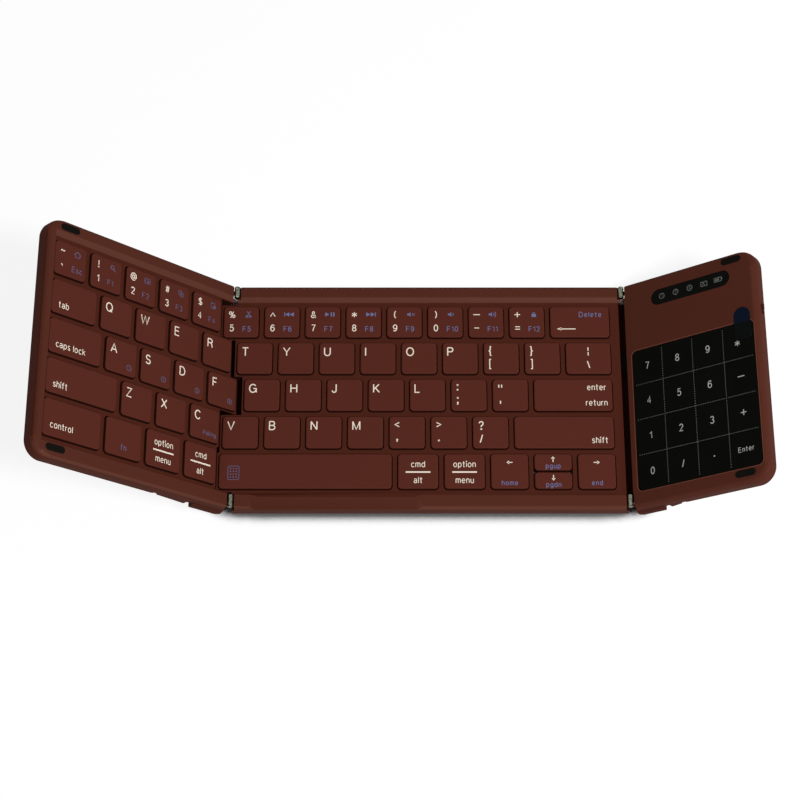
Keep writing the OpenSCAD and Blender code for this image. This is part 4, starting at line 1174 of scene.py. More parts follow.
SIGNS: dict[str, tuple] = {
    " ": (0.12,),
    "A": (0.78, [(0, 0), (0.39, 1), (0.78, 0)], beam(0.33, 0.13, 0.65)),
    "B": (0.62, post(0), beam(1, 0, 0.32) + bow(0.34, 0.76, 0.23, 0.24, 85, -85)
          + [(0, 0.52)], [(0.3, 0.52)] + bow(0.35, 0.26, 0.27, 0.26, 85, -85) + [(0, 0)]),
    "C": (0.72, bow(0.38, 0.5, 0.38, 0.5, 38, 322)),
    "D": (0.68, post(0), beam(1, 0, 0.26) + bow(0.28, 0.5, 0.4, 0.5, 84, -84) + [(0, 0)]),
    "E": (0.58, [(0.58, 0), (0, 0), (0, 1), (0.57, 1)], beam(0.53, 0, 0.53)),
    "F": (0.54, [(0, 0), (0, 1), (0.54, 1)], beam(0.5, 0, 0.47)),
    "G": (0.78, bow(0.39, 0.5, 0.39, 0.5, 38, 340), [(0.42, 0.48), (0.78, 0.48), (0.78, 0)]),
    "H": (0.68, post(0), post(0.68), beam(0.52, 0, 0.68)),
    "I": (0.0, post(0)),
    "J": (0.45, [(0.45, 1)] + bow(0.225, 0.25, 0.225, 0.25, 0, -175)),
    "K": (0.66, post(0), [(0.62, 1), (0, 0.36)], [(0.2, 0.57), (0.66, 0)]),
    "L": (0.52, [(0, 1), (0, 0), (0.52, 0)]),
    "M": (0.8, post(0), [(0, 1), (0.4, 0.02), (0.8, 1)], post(0.8)),
    "N": (0.66, post(0), [(0, 1), (0.66, 0)], post(0.66)),
    "O": (0.8, bow(0.4, 0.5, 0.4, 0.5)),
    "P": (0.6, post(0), beam(1, 0, 0.34) + bow(0.36, 0.745, 0.24, 0.255, 85, -85)
          + [(0, 0.49)]),
    "Q": (0.8, bow(0.4, 0.5, 0.4, 0.5), [(0.5, 0.24), (0.8, -0.02)]),
    "R": (0.64, post(0), beam(1, 0, 0.36) + bow(0.38, 0.76, 0.24, 0.24, 85, -85)
          + [(0, 0.52)], [(0.36, 0.52), (0.56, 0.42), (0.61, 0.08), (0.66, 0)]),
    "S": (0.58, ESS),
    "T": (0.68, beam(1, 0, 0.68), post(0.34)),
    "U": (0.66, CUP),
    "V": (0.74, [(0, 1), (0.37, 0), (0.74, 1)]),
    "W": (1.08, [(0, 1), (0.27, 0), (0.54, 1), (0.81, 0), (1.08, 1)]),
    "X": (0.72, [(0, 0), (0.7, 1)], [(0.02, 1), (0.72, 0)]),
    "Y": (0.74, [(0, 1), (0.37, 0.44), (0.74, 1)], post(0.37, 0, 0.46)),
    "Z": (0.64, [(0.02, 1), (0.63, 1), (0, 0), (0.64, 0)]),
    "0": (0.52, bow(0.26, 0.5, 0.26, 0.5)),
    "1": (0.26, [(0, 0.74), (0.16, 0.79), (0.26, 1), (0.26, 0)]),
    "2": (0.52, bow(0.26, 0.72, 0.25, 0.28, 168, -35) + [(0, 0), (0.52, 0)]),
    "3": (0.52, bow(0.26, 0.76, 0.23, 0.24, 160, -85), bow(0.26, 0.26, 0.26, 0.26, 90, -160)),
    "4": (0.54, [(0.4, 0), (0.4, 1), (0, 0.3), (0.54, 0.3)]),
    "5": (0.52, [(0.48, 1), (0.1, 1), (0.04, 0.5)] + bow(0.25, 0.33, 0.27, 0.33, 130, -155)),
    "6": (0.52, bow(0.26, 0.32, 0.26, 0.32), bow(0.29, 0.5, 0.29, 0.5, 45, 180) + [(0, 0.34)]),
    "7": (0.52, [(0, 1), (0.52, 1), (0.3, 0.5), (0.18, 0)]),
    "8": (0.52, bow(0.26, 0.76, 0.22, 0.24), bow(0.26, 0.26, 0.26, 0.26)),
    "9": (0.52, bow(0.26, 0.68, 0.26, 0.32), [(0.52, 0.66)] + bow(0.23, 0.5, 0.29, 0.5, 0, -135)),
    "a": (0.46, bow(0.22, 0.5, 0.21, 0.22, 160, 0) + [(0.43, 0.08), (0.48, 0)],
          [(0.43, 0.43), (0.22, 0.4)] + bow(0.19, 0.2, 0.19, 0.2, 90, 270)
          + [(0.34, 0.05), (0.43, 0.2)]),
    "b": (0.48, post(0), LOW_BOWL),
    "c": (0.44, bow(0.24, 0.36, 0.24, 0.36, 40, 320)),
    "d": (0.48, post(0.48), LOW_BOWL),
    "e": (0.48, beam(0.37, 0, 0.48), bow(0.24, 0.36, 0.24, 0.36, 0, 318)),
    "f": (0.32, [(0.33, 1)] + bow(0.3, 0.84, 0.16, 0.16, 90, 180) + [(0.14, 0)],
          beam(0.7, -0.02, 0.33)),
    "g": (0.48, LOW_BOWL, [(0.48, 0.72)] + bow(0.24, 0, 0.24, 0.26, 0, -155)),
    "h": (0.43, post(0), ARCH),
    "i": (0.0, post(0, 0, 0.72), dot(0.96)),
    "k": (0.42, post(0), [(0.4, 0.72), (0, 0.3)], [(0.14, 0.44), (0.42, 0)]),
    "l": (0.0, post(0)),
    "m": (0.72, post(0, 0, 0.72), [(0, 0.46)] + bow(0.18, 0.52, 0.18, 0.2, 170, 0) + [(0.36, 0)],
          [(0.36, 0.46)] + bow(0.54, 0.52, 0.18, 0.2, 170, 0) + [(0.72, 0)]),
    "n": (0.43, post(0, 0, 0.72), ARCH),
    "o": (0.5, bow(0.25, 0.36, 0.25, 0.36)),
    "p": (0.48, post(0, -0.28, 0.72), LOW_BOWL),
    "r": (0.24, post(0, 0, 0.72), [(0, 0.42)] + bow(0.21, 0.48, 0.21, 0.23, 170, 75)),
    "s": (0.38, LOW_ESS),
    "t": (0.32, [(0.13, 0.98)] + bow(0.26, 0.13, 0.13, 0.13, 180, 275),
          beam(0.7, -0.04, 0.34)),
    "u": (0.43, [(0, 0.72)] + bow(0.215, 0.22, 0.215, 0.22, 180, 350) + [(0.43, 0.3)],
          post(0.43, 0, 0.72)),
    "%": (0.84, bow(0.17, 0.76, 0.16, 0.22), bow(0.67, 0.24, 0.16, 0.22), [(0.22, 0), (0.62, 1)]),
    "^": (0.7, [(0, 0.4), (0.35, 1), (0.7, 0.4)]),
    "&": (0.66, [(0.66, 0), (0.3, 0.42), (0.16, 0.66), (0.14, 0.82), (0.2, 0.95), (0.3, 1),
                 (0.4, 0.95), (0.45, 0.82), (0.4, 0.66), (0.22, 0.5), (0.06, 0.36), (0, 0.22),
                 (0.08, 0.06), (0.24, 0), (0.4, 0.06), (0.52, 0.24), (0.58, 0.46)]),
    "*": (0.72, post(0.36, 0.12, 0.92), [(0, 0.72), (0.72, 0.32)],
          [(0, 0.32), (0.72, 0.72)]),
    "(": (0.22, bow(0.6, 0.42, 0.6, 0.78, 132, 228)),
    "–": (1.0, beam(0.4, 0, 1.0)),
    "-": (0.7, beam(0.4, 0, 0.7)),
    "+": (0.84, beam(0.42, 0, 0.84), post(0.42, 0, 0.84)),
    "=": (0.72, beam(0.6, 0, 0.72), beam(0.2, 0, 0.72)),
    "~": (0.62, [(0, 0.4), (0.09, 0.52), (0.21, 0.55), (0.41, 0.42), (0.53, 0.45),
                  (0.62, 0.58)]),
    "`": (0.2, [(0, 1), (0.2, 0.72)]),
    "!": (0.0, post(0, 0.3, 1), dot(0.0)),
    "@": (0.96, bow(0.48, 0.42, 0.48, 0.56, -15, 305), bow(0.45, 0.42, 0.2, 0.26),
          [(0.68, 0.68), (0.66, 0.26), (0.8, 0.14), (0.93, 0.28)]),
    "#": (0.62, [(0.1, 0), (0.24, 1)], [(0.38, 0), (0.52, 1)], beam(0.68, 0.04, 0.62),
          beam(0.32, 0, 0.58)),
    "$": (0.58, ESS, post(0.29, -0.12, 1.12)),
    "{": (0.26, [(0.26, 1.05), (0.15, 1), (0.13, 0.88), (0.13, 0.55), (0, 0.42), (0.13, 0.29),
                 (0.13, -0.05), (0.15, -0.17), (0.26, -0.22)]),
    "[": (0.18, [(0.18, 1.05), (0, 1.05), (0, -0.22), (0.18, -0.22)]),
    ":": (0.04, dot(0.66, 0.02), dot(0.03, 0.02)),
    ";": (0.08, dot(0.66, 0.05), dot(0.03, 0.05), [(0.08, 0.03), (0.06, -0.12), (0, -0.24)]),
    '"': (0.36, post(0, 0.6), post(0.36, 0.6)),
    "'": (0.0, post(0, 0.6)),
    "<": (0.52, [(0.52, 0.64), (0, 0.36), (0.52, 0.08)]),
    ",": (0.08, dot(0.03, 0.05), [(0.08, 0.03), (0.06, -0.12), (0, -0.24)]),
    ".": (0.0, dot(0.03)),
    "?": (0.48, bow(0.24, 0.75, 0.24, 0.25, 175, -40) + [(0.24, 0.42), (0.24, 0.28)],
          dot(0.0, 0.24)),
    "/": (0.3, [(0, -0.02), (0.3, 1.02)]),
}
GLYPHS = {sign: Glyph(width, lines) for sign, (width, *lines) in SIGNS.items()}
GLYPHS.update({other: GLYPHS[sign].flipped()
               for sign, other in (("(", ")"), ("{", "}"), ("[", "]"), ("<", ">"), ("/", "\\"))})


class Printer:
    """Prints marks on flat surfaces as thin flat meshes."""

    lift: float = 0.02
    layer: float = 0.002

    def __init__(self) -> None:
        """Starts the first print."""
        self.start()

    def start(self) -> None:
        """Starts a new print."""
        self.verts: list[Triple] = []
        self.faces: list[tuple[list[int], Finish]] = []

    def face(self, points: Iterable[Point], ink: Finish, z: float) -> None:
        """Adds one flat area, turned to face up.

        Args:
            points: Its corners.
            ink: Its ink.
            z: Its height.
        """
        corners = list(points)
        area = sum(a[0] * b[1] - b[0] * a[1] for a, b in zip(corners, corners[1:] + corners[:1]))
        first = len(self.verts)
        self.verts += [(x, y, z) for x, y in (corners if area > 0 else corners[::-1])]
        self.faces.append((list(range(first, len(self.verts))), ink))

    def line(self, points: Sequence[Point], width: float, ink: Finish, z: float) -> None:
        """Adds a line of a width along points, with mitred corners.

        Args:
            points: The line's points; the first one again at the end closes it.
            width: Width of the line.
            ink: Its ink.
            z: Its height.
        """
        spots = [Vector(p) for p in points]
        loop = (spots[0] - spots[-1]).length < 1e-6
        sides: list[tuple[Vector, Vector]] = []
        for i, spot in enumerate(spots):
            before = spots[i - 1] if i else (spots[-2] if loop else None)
            after = spots[i + 1] if i + 1 < len(spots) else (spots[1] if loop else None)
            ways = [(b - a).normalized() for a, b in ((before, spot), (spot, after)) if a and b]
            across = [Vector((-w.y, w.x)) for w in ways]
            middle = (across[0] + across[-1]).normalized()
            reach = width / 2 / max(0.8, middle.dot(across[0]))
            sides.append((spot - middle * reach, spot + middle * reach))
        for (a, b), (c, d) in zip(sides, sides[1:]):
            self.face([tuple(a), tuple(c), tuple(d), tuple(b)], ink, z)

    def write(self, mark: Mark, x: float, y: float, z: float) -> None:
        """Writes a mark's text.

        Args:
            mark: The mark.
            x: The place of the point that its align names.
            y: Its middle.
            z: Its height.
        """
        thick = mark.height * mark.stroke
        scale = mark.height - thick
        gap = mark.height * (mark.stroke + mark.spacing)
        glyphs = [GLYPHS[sign] for sign in mark.text]
        length = sum(scale * g.width + gap for g in glyphs) - gap + thick
        spots = [p for g in glyphs for line in g.lines for p in line]
        low, high = (f(p[1] for p in spots) for f in (min, max))
        middle = (low + high) / 2 if mark.centred else 0.5
        start = x - length * mark.align.value + thick / 2
        for glyph in glyphs:
            for layer, line in enumerate(glyph.lines):
                self.line([(start + scale * px, y + scale * (py - middle)) for px, py in line],
                          thick, mark.ink, z + layer * self.layer)
            start += scale * glyph.width + gap

    def mark(self, field: Cap, mark: Mark, top: float = LEVELS.cap_top) -> None:
        """Prints a mark.

        Args:
            field: The cap or another flat field.
            mark: The mark.
            top: The field's height.
        """
        x = field.right - mark.x if mark.from_right else field.left + mark.x
        y, z = field.rear - mark.y, top + self.lift
        if mark.height:
            self.write(mark, x, y, z)
            return
        for width, points in DRAWINGS[mark.text]:
            spots = [(x + mark.scale * px, y + mark.scale * py) for px, py in points]
            if width:
                self.line(spots, width * mark.scale, mark.ink, z)
            else:
                self.face(spots, mark.ink, z)

    def mesh(self, name: str) -> bpy.types.Mesh:
        """Ends a print.

        Args:
            name: Name of the mesh.

        Returns:
            The flat mesh, with a material for each ink.
        """
        made = bpy.data.meshes.new(name)
        made.from_pydata(self.verts, [], [f for f, _ in self.faces])
        inks = list(dict.fromkeys(ink for _, ink in self.faces))
        for ink in inks:
            made.materials.append(ink.material())
        made.polygons.foreach_set("material_index", [inks.index(i) for _, i in self.faces])
        self.start()
        return made


# Marks of the keys


@dataclass(frozen=True)
class KeyPrint:
    """Sizes and places of the marks on the caps."""

    letter: float = 3.8
    digit: float = 3.0
    label: float = 2.3
    word: float = 2.6
    fine: float = 0.11
    apart: float = 0.2
    letter_at: Point = (1.8, 3.9)
    sign_at: Point = (3.2, 3.5)
    digit_at: Point = (3.2, 9.2)
    label_at: Point = (7.5, 9.6)
    icon_at: Point = (9.65, 3.4)
    ring_at: Point = (10.5, 9.9)

    def blue(self, name: str) -> Finish:
        """The blue ink of a node's caps, dimmer on the left wing."""
        return Finish.DIM_BLUE if name.startswith("left_") else Finish.BLUE

    def label_mark(self, text: str, x: float, y: float, height: float, ink: Finish,
                   from_right: bool = False) -> Mark:
        """A label in blue ink, centred or from the right."""
        align = Align.RIGHT if from_right else Align.CENTRE
        return Mark(text, x, y, height, ink, align, False, from_right, self.fine,
                    self.apart)

    def letter_mark(self, text: str) -> list[Mark]:
        """A letter at a cap's left rear corner."""
        return [Mark(text, *self.letter_at, self.letter, centred=False, stroke=0.12)]

    def number_marks(self, sign: str, digit: str, label: str, icon: str,
                     blue: Finish = Finish.BLUE) -> list[Mark]:
        """Marks of a key in the number row.

        Args:
            sign: The sign above.
            digit: The digit below.
            label: The blue label beside the digit.
            icon: The blue drawing beside the sign.
            blue: The blue ink.

        Returns:
            The four marks.
        """
        return [Mark(sign, *self.sign_at, self.digit, align=Align.CENTRE),
                Mark(digit, *self.digit_at, self.digit, align=Align.CENTRE),
                Mark(label, *self.label_at, self.label, blue, stroke=self.fine,
                     spacing=self.apart),
                Mark(icon, *self.icon_at, 0, blue)]

    def pair_marks(self, upper: str, lower: str, x: float, y_upper: float,
                   y_lower: float) -> list[Mark]:
        """Two signs above each other."""
        return [Mark(sign, x, y, self.letter * 0.93, align=Align.CENTRE)
                for sign, y in ((upper, y_upper), (lower, y_lower))]

    def word_mark(self, text: str, x: float, y: float, from_right: bool = False) -> Mark:
        """A word in small letters."""
        return Mark(text, x, y, self.word, centred=False, from_right=from_right,
                    align=Align.RIGHT if from_right else Align.LEFT, stroke=self.fine)

    def stacked(self, cap: Cap, upper: str, lower: str) -> list[Mark]:
        """Two words with a bar between them."""
        words = [Mark(word, cap.width / 2, y, self.word, align=Align.CENTRE, centred=False,
                      stroke=self.fine) for word, y in ((upper, 4.2), (lower, 10.6))]
        return [*words, Mark("bar", cap.width / 2, 7.4, 0)]

    def arrow_marks(self, cap: Cap, arrow_name: str, label: str, y: float,
                    label_y: float) -> list[Mark]:
        """An arrow with a blue label below it."""
        middle = cap.width / 2
        return [Mark(arrow_name, middle, y, 0),
                self.label_mark(label, middle, label_y, 2.1, Finish.BLUE)]

    def table(self, caps: dict[str, list[Cap]]) -> dict[str, list[list[Mark]]]:
        """Lists the marks of every cap.

        Args:
            caps: The caps of each node.

        Returns:
            The marks of each node's caps, in the caps' order.
        """
        numbers = {
            "number_keys": (("%", "5", "F5", "cut"), ("^", "6", "F6", "previous"),
                            ("&", "7", "F7", "play"), ("*", "8", "F8", "next"),
                            ("(", "9", "F9", "mute"), (")", "0", "F10", "quieter"),
                            ("–", "-", "F11", "louder"), ("+", "=", "F12", "lock")),
            "left_number_keys": (("~", "`", "Esc", "home"), ("!", "1", "F1", "search"),
                                 ("@", "2", "F2", "select"), ("#", "3", "F3", "copy"),
                                 ("$", "4", "F4", "paste"))}
        letters = {"left_upper_letter_keys": "QWER", "upper_letter_keys": "TYUIOP",
                   "left_home_letter_keys": "ASDF", "home_letter_keys": "GHJKL",
                   "left_lower_letter_keys": "ZXC", "lower_letter_keys": "VBNM"}
        made = {name: [self.number_marks(*marks, self.blue(name)) for marks in rows]
                for name, rows in numbers.items()}
        made.update({name: [self.letter_mark(c) for c in text]
                     for name, text in letters.items()})
        made["upper_letter_keys"] += [self.pair_marks("{", "[", 2.6, 3.6, 9.1),
                                      self.pair_marks("}", "]", 2.6, 3.6, 9.1)]
        made["home_letter_keys"] += [self.pair_marks(":", ";", 2.5, 3.5, 9.2),
                                     self.pair_marks('"', "'", 3.0, 3.0, 9.7)]
        made["lower_letter_keys"] += [self.pair_marks("<", ",", 3.0, 3.5, 10.0),
                                      self.pair_marks(">", ".", 3.0, 3.5, 10.0),
                                      self.pair_marks("?", "/", 3.3, 3.9, 9.3)]
        slash = caps["backslash_key"][0].width / 2
        made["backslash_key"] = [[Mark("split_bar", slash, 3.8, 0),
                                  Mark("\\", slash, 9.3, 3.2, align=Align.CENTRE)]]
        made["delete_key"] = [[self.label_mark("Delete", 3.0, 3.4, 2.3, Finish.BLUE, True),
                               Mark("long_left", 6.2, 9.6, 0)]]
        made["enter_key"] = [[self.word_mark("enter", 2.4, 3.4, True),
                              self.word_mark("return", 2.0, 9.8, True)]]
        made["right_shift_key"] = [[self.word_mark("shift", 2.4, 9.8, True)]]
        for name, text in (("tab_key", "tab"), ("caps_lock_key", "caps lock"),
                           ("left_shift_key", "shift"), ("control_key", "control")):
            made[name] = [[self.word_mark(text, 3.0, 9.6)]]
        made["fn_key"] = [[self.label_mark("fn", caps["fn_key"][0].width / 2, 10.4, 2.4,
                                           Finish.DIM_BLUE)]]
        for side in ("left", "right"):
            command, option = f"{side}_command_key", f"{side}_option_key"
            made[command] = [self.stacked(caps[command][0], "cmd", "alt")]
            made[option] = [self.stacked(caps[option][0], "option", "menu")]
        made["space_key"] = [[Mark("number_pad", 5.6, 7.7, 0, Finish.DIM_BLUE)]]
        for name, arrow_name, label, y, label_y in (
                ("left_arrow_key", "left", "home", 3.5, 11.7),
                ("right_arrow_key", "right", "end", 3.5, 11.7),
                ("up_arrow_key", "up", "pgup", 2.2, 4.9),
                ("down_arrow_key", "down", "pgdn", 2.3, 5.0)):
            made[name] = [self.arrow_marks(caps[name][0], arrow_name, label, y, label_y)]
        for i, digit in enumerate("123"):
            made["left_home_letter_keys"][i] += [
                Mark("ring", *self.ring_at, 0, Finish.DIM_BLUE),
                Mark(digit, *self.ring_at, 1.2, Finish.DIM_BLUE, Align.CENTRE)]
        made["left_home_letter_keys"][3].append(Mark("signal", *self.ring_at, 0, Finish.DIM_BLUE))
        made["left_lower_letter_keys"][2].append(
            Mark("Pairing", 1.4, 10.2, 1.75, Finish.DIM_BLUE, Align.RIGHT, False, True,
                 self.fine))
        return made


# Sub-assemblies


@dataclass
class KeyBank:
    """The caps of one section with their prints and the rubber domes below them."""

    section: Section
    caps: dict[str, list[Cap]]
    plate_node: str
    sheet_node: str
    corner: float = 1.4
    wall: float = 0.9
    rounding: float = 0.42
    lip: float = 0.55
    lip_thick: float = 0.4
    lip_start: float = 1.75
    dome_d: float = 6.0
    dome_clear: float = 0.15
    travel: float = 1.3
    side_tilt: float = 0.6
    side_lipped: tuple[str, ...] = ("up_arrow_key", "down_arrow_key")

    def cap_mesh(self, cap: Cap, side_lips: bool) -> bpy.types.Mesh:
        """Builds one hollow cap with a rounded top edge.

        Args:
            cap: The cap's place.
            side_lips: True if its lips are at its sides.

        Returns:
            The mesh.
        """
        top, bottom, edge, wall = LEVELS.cap_top, LEVELS.cap_bottom, self.rounding, self.wall
        shape = Shape()
        shape.rounded_slab((cap.left, cap.front), (cap.width, cap.depth), self.corner, (
            (wall + 0.3, top - wall), (wall, top - wall - 0.3), (wall, bottom), (0.08, bottom),
            (0, bottom + 0.1), (0, top - edge), (edge * 0.13, top - edge * 0.5),
            (edge * 0.5, top - edge * 0.13), (edge, top), (edge + 0.2, top)))
        x0, x1, y0, y1 = cap.left, cap.right, cap.front, cap.rear
        for side in (0, 1):
            if side_lips:
                x = (x0 - self.lip, x0 + wall / 2) if side else (x1 - wall / 2, x1 + self.lip)
                y = (y0 + self.lip_start, y1 - self.lip_start)
            else:
                x = (x0 + self.lip_start, x1 - self.lip_start)
                y = (y0 - self.lip, y0 + wall / 2) if side else (y1 - wall / 2, y1 + self.lip)
            shape.box((x[0], y[0], bottom), (x[1], y[1], bottom + self.lip_thick))
        return shape.mesh("cap")

    def dome_mesh(self, cap: Cap) -> bpy.types.Mesh:
        """Builds one collapsing dome with a flat top, about the origin.

        Args:
            cap: The cap that it fits into.

        Returns:
            The mesh.
        """
        base, top = LEVELS.sheet, LEVELS.cap_top - self.wall - 0.12
        r = min(self.dome_d, min(cap.width, cap.depth) - 2 * self.wall - 2 * self.dome_clear) / 2
        shape = Shape()
        shape.lathe(((r - 0.4, base - 0.1), (r, base), (r * 0.97, base + 0.35),
                     (r * 0.72, base + 1.6), (r * 0.68, base + 2.1), (r * 0.62, top - 0.1),
                     (r * 0.55, top), (r * 0.3, top), (r * 0.27, top - 0.3)), sides=16)
        return shape.mesh("dome", 50)

    def build(self, printer: Printer, marks: dict[str, list[list[Mark]]]) -> None:
        """Builds the whole bank.

        Args:
            printer: Prints the marks.
            marks: The marks of each node's caps.
        """
        for name, caps in self.caps.items():
            mesh = self.cap_mesh(caps[0], name in self.side_lipped)
            if len(caps) > 1:
                mesh = in_grid(mesh, Finish.CAP, len(caps), LAYOUT.pitch)
            # Steep side faces of the caps get a painted shade; the tops keep the cap colour.
            add_piece(f"{name}_caps", mesh, self.section, (Finish.CAP, Finish.CAP_SIDE), [name],
                      name, pick=lambda face: abs(face.normal.z) < self.side_tilt)
            for cap, cap_marks in zip(caps, marks[name]):
                for mark in cap_marks:
                    printer.mark(cap, mark)
            add_piece(f"{name}_print", printer.mesh("print"), self.section, body=name)
            self.add_domes(name, caps)
        sheet = cad_shape(self.sheet_node, self.section, LEVELS.sheet)
        add_piece(f"{self.sheet_node}_sheet", sheet.mesh("sheet", outward=False), self.section,
                  Finish.DOME, [self.sheet_node])
        add_piece(f"{self.plate_node}_steel", softened(self.plate_node, self.section, 0),
                  self.section, Finish.PLATE, [self.plate_node])

    def add_domes(self, name: str, caps: list[Cap]) -> None:
        """Adds the domes under a node's caps.

        Args:
            name: The caps' node.
            caps: The caps.
        """
        places = [(c.left + c.width / 2, c.front + c.depth / 2, 0) for c in caps]
        domes = add_piece(f"{name}_domes", at_places(self.dome_mesh(caps[0]), Finish.DOME, places),
                          self.section, Finish.DOME)
        height = LEVELS.cap_top - self.wall - LEVELS.sheet
        self.section.up()
        self.section.point(0, 0, LEVELS.sheet)
        1 - self.travel / height
        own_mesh(domes)


@dataclass
class Shell:
    """A section's frame and tray, softened at their edges."""

    section: Section
    frame_node: str
    tray_node: str
    span: float
    keys: bool = True
    frame_rounding: float = 0.22
    tray_rounding: float = 0.18
    pocket: float = 1.75
    pocket_y: float = 37.0
    field: float = 41.2
    outer_end: float = -85.0
    sides: float = 0.95
    slope: float = 0.3
    near: float = 0.05

    def frame_finish(self, face: bpy.types.MeshPolygon) -> Finish:
        """The finish of a face of the frame, with its painted shade and painted highlight.

        Args:
            face: The face, in the flat frame.

        Returns:
            The finish.
        """
        (x, y, z), normal = face.center, face.normal
        to_fold = min(abs(x), abs(x - self.span))
        # Walls of the hinge pockets by the folds get a painted shade.
        if to_fold < self.pocket and abs(y) > self.pocket_y and z < LEVELS.rim - 0.3:
            return Finish.RECESS
        over_web, on_field = z - LEVELS.web, self.keys and abs(y) < self.field
        # Upright walls: slopes that face up and forward get a painted highlight, walls inside the
        # key field a painted shade.
        if (self.keys and x > self.outer_end and z < LEVELS.rim - 2 * self.near
                and abs(normal.z) < self.sides):
            lit = min(normal.z, -normal.y) > self.slope and over_web > 2 * self.near
            inside = LEVELS.floor < z and over_web < self.near and on_field
            return Finish.LEDGE if lit else Finish.RECESS if inside else Finish.SHELL
        # The flat web between the caps gets a painted shade.
        flat = abs(over_web) < self.near and on_field
        return Finish.WEB if flat else Finish.SHELL

    def build(self) -> None:
        """Builds both mouldings."""
        mesh = softened(self.frame_node, self.section, self.frame_rounding,
                        seam=-self.field if self.keys else None, lowest=LEVELS.web - 0.1)
        # Shell plastic, painted shade on the web and in recesses, painted highlight on ledges.
        finishes = (Finish.SHELL, Finish.WEB, Finish.RECESS, Finish.LEDGE)
        add_piece(f"{self.frame_node}_moulding", mesh, self.section, finishes,
                  [self.frame_node], pick=lambda face: finishes.index(self.frame_finish(face)))
        add_piece(f"{self.tray_node}_moulding",
                  softened(self.tray_node, self.section, self.tray_rounding), self.section,
                  Finish.TRAY, [self.tray_node])


@dataclass
class Fasteners:
    """Cross-head screws along a section's rims."""

    section: Section
    node: str
    places: tuple[float, ...]
    row_y: float = 43.6
    head_d: float = 2.8
    head_h: float = 0.6
    shank_d: float = 1.6
    length: float = 3.2
    cross: float = 0.42

    def screw_mesh(self) -> bpy.types.Mesh:
        """Builds one screw, head down, with a flat head and a ridged shank; its cross recess is
        only painted shade, built apart.

        Returns:
            The mesh.
        """
        z, r, shank = LEVELS.tray, self.head_d / 2, self.shank_d / 2
        shape = Shape()
        profile = [(r * 0.62, z + 0.02), (r * 0.9, z + 0.1), (r, z + 0.25), (r, z + self.head_h),
                   (shank * 0.9, z + self.head_h)]
        for i in range(1, 8):
            along = z + self.head_h + 0.3 * i
            profile += [(shank, along), (shank * 0.8, along + 0.15)]
        profile.append((shank * 0.3, z + self.length))
        shape.lathe(profile, sides=20)
        return shape.mesh("screw", 30)

    def cross_mesh(self) -> bpy.types.Mesh:
        """Builds the black cross on the head, painted shade that stands in for the cross recess.

        Returns:
            The mesh.
        """
        shape = Shape()
        z, reach, half = LEVELS.tray, self.head_d * 0.3, self.cross / 2
        shape.box((-reach, -half, z - 0.005), (reach, half, z + 0.1), 0.02)
        shape.box((-half, -reach, z - 0.005), (half, reach, z + 0.1), 0.02)
        return shape.mesh("cross")

    def build(self) -> None:
        """Builds the screws and the painted shade of their cross recesses."""
        places = front_and_rear(self.places, self.row_y, 0)
        add_piece(f"{self.node}_set", at_places(self.screw_mesh(), Finish.STEEL, places),
                  self.section, Finish.STEEL, [self.node])
        # A black cross on each head: painted shade in place of a cross recess.
        add_piece(f"{self.node}_recesses", at_places(self.cross_mesh(), Finish.RUBBER, places),
                  self.section, Finish.RUBBER)


@dataclass
class RubberParts:
    """Bumpers on a wing's rims or feet under a section, front and rear."""

    section: Section
    node: str
    xs: tuple[float, ...]
    ys: Point
    size: Point
    bottom: float
    top: float
    rounding: float = 0.3
    upward: bool = True

    def pad_mesh(self) -> bpy.types.Mesh:
        """Builds one oblong pad about the origin, rounded at the face that shows.

        Returns:
            The mesh.
        """
        (length, width), edge = self.size, self.rounding
        seat, face = (self.bottom, self.top) if self.upward else (self.top, self.bottom)
        way = 1 if self.upward else -1
        turns = [math.radians(90 * i / 4) for i in range(5)]
        profile = [(0.02, seat), (0.0, seat + way * 0.02)]
        profile += [(edge * (1 - math.cos(a)), face - way * edge * (1 - math.sin(a)))
                    for a in turns]
        profile.append((edge + 0.25, face))
        shape = Shape()
        shape.rounded_slab((-length / 2, -width / 2), self.size, width / 2, profile, 8)
        return shape.mesh("pad")

    def build(self) -> None:
        """Builds the pads."""
        places = [(x, y, 0) for x in self.xs for y in self.ys]
        mesh = at_places(self.pad_mesh(), Finish.RUBBER, places)
        add_piece(f"{self.node}_pads", mesh, self.section, Finish.RUBBER, [self.node])


@dataclass
class Hinges:
    """Steel leaves and pins of both folds."""

    base: Section
    left: Section
    right: Section
    span: float
    rounding: float = 0.07
    barrel: float = 1.2

    def off_barrel(self, face: bpy.types.MeshPolygon) -> bool:
        """True for a face that isn't on a barrel."""
        x = min((face.center.x, face.center.x - self.span), key=abs)
        return math.hypot(x, face.center.z) > self.barrel

    def build(self) -> None:
        """Builds the leaves and pins, with painted shade on the faces off the barrels."""
        base = (self.base, self.base)
        for part, sections in (("base_leaves", base), ("pins", base),
                               ("wing_leaves", (self.left, self.right))):
            for side, section in zip(("left", "right"), sections):
                node = f"{side}_hinge_{part}"
                # Faces off the barrels get a painted shade, for the dark pockets they sit in.
                add_piece(f"{node}_steel", softened(node, section, self.rounding, 1), section,
                          (Finish.STEEL, Finish.DARK_STEEL), [node], pick=self.off_barrel)


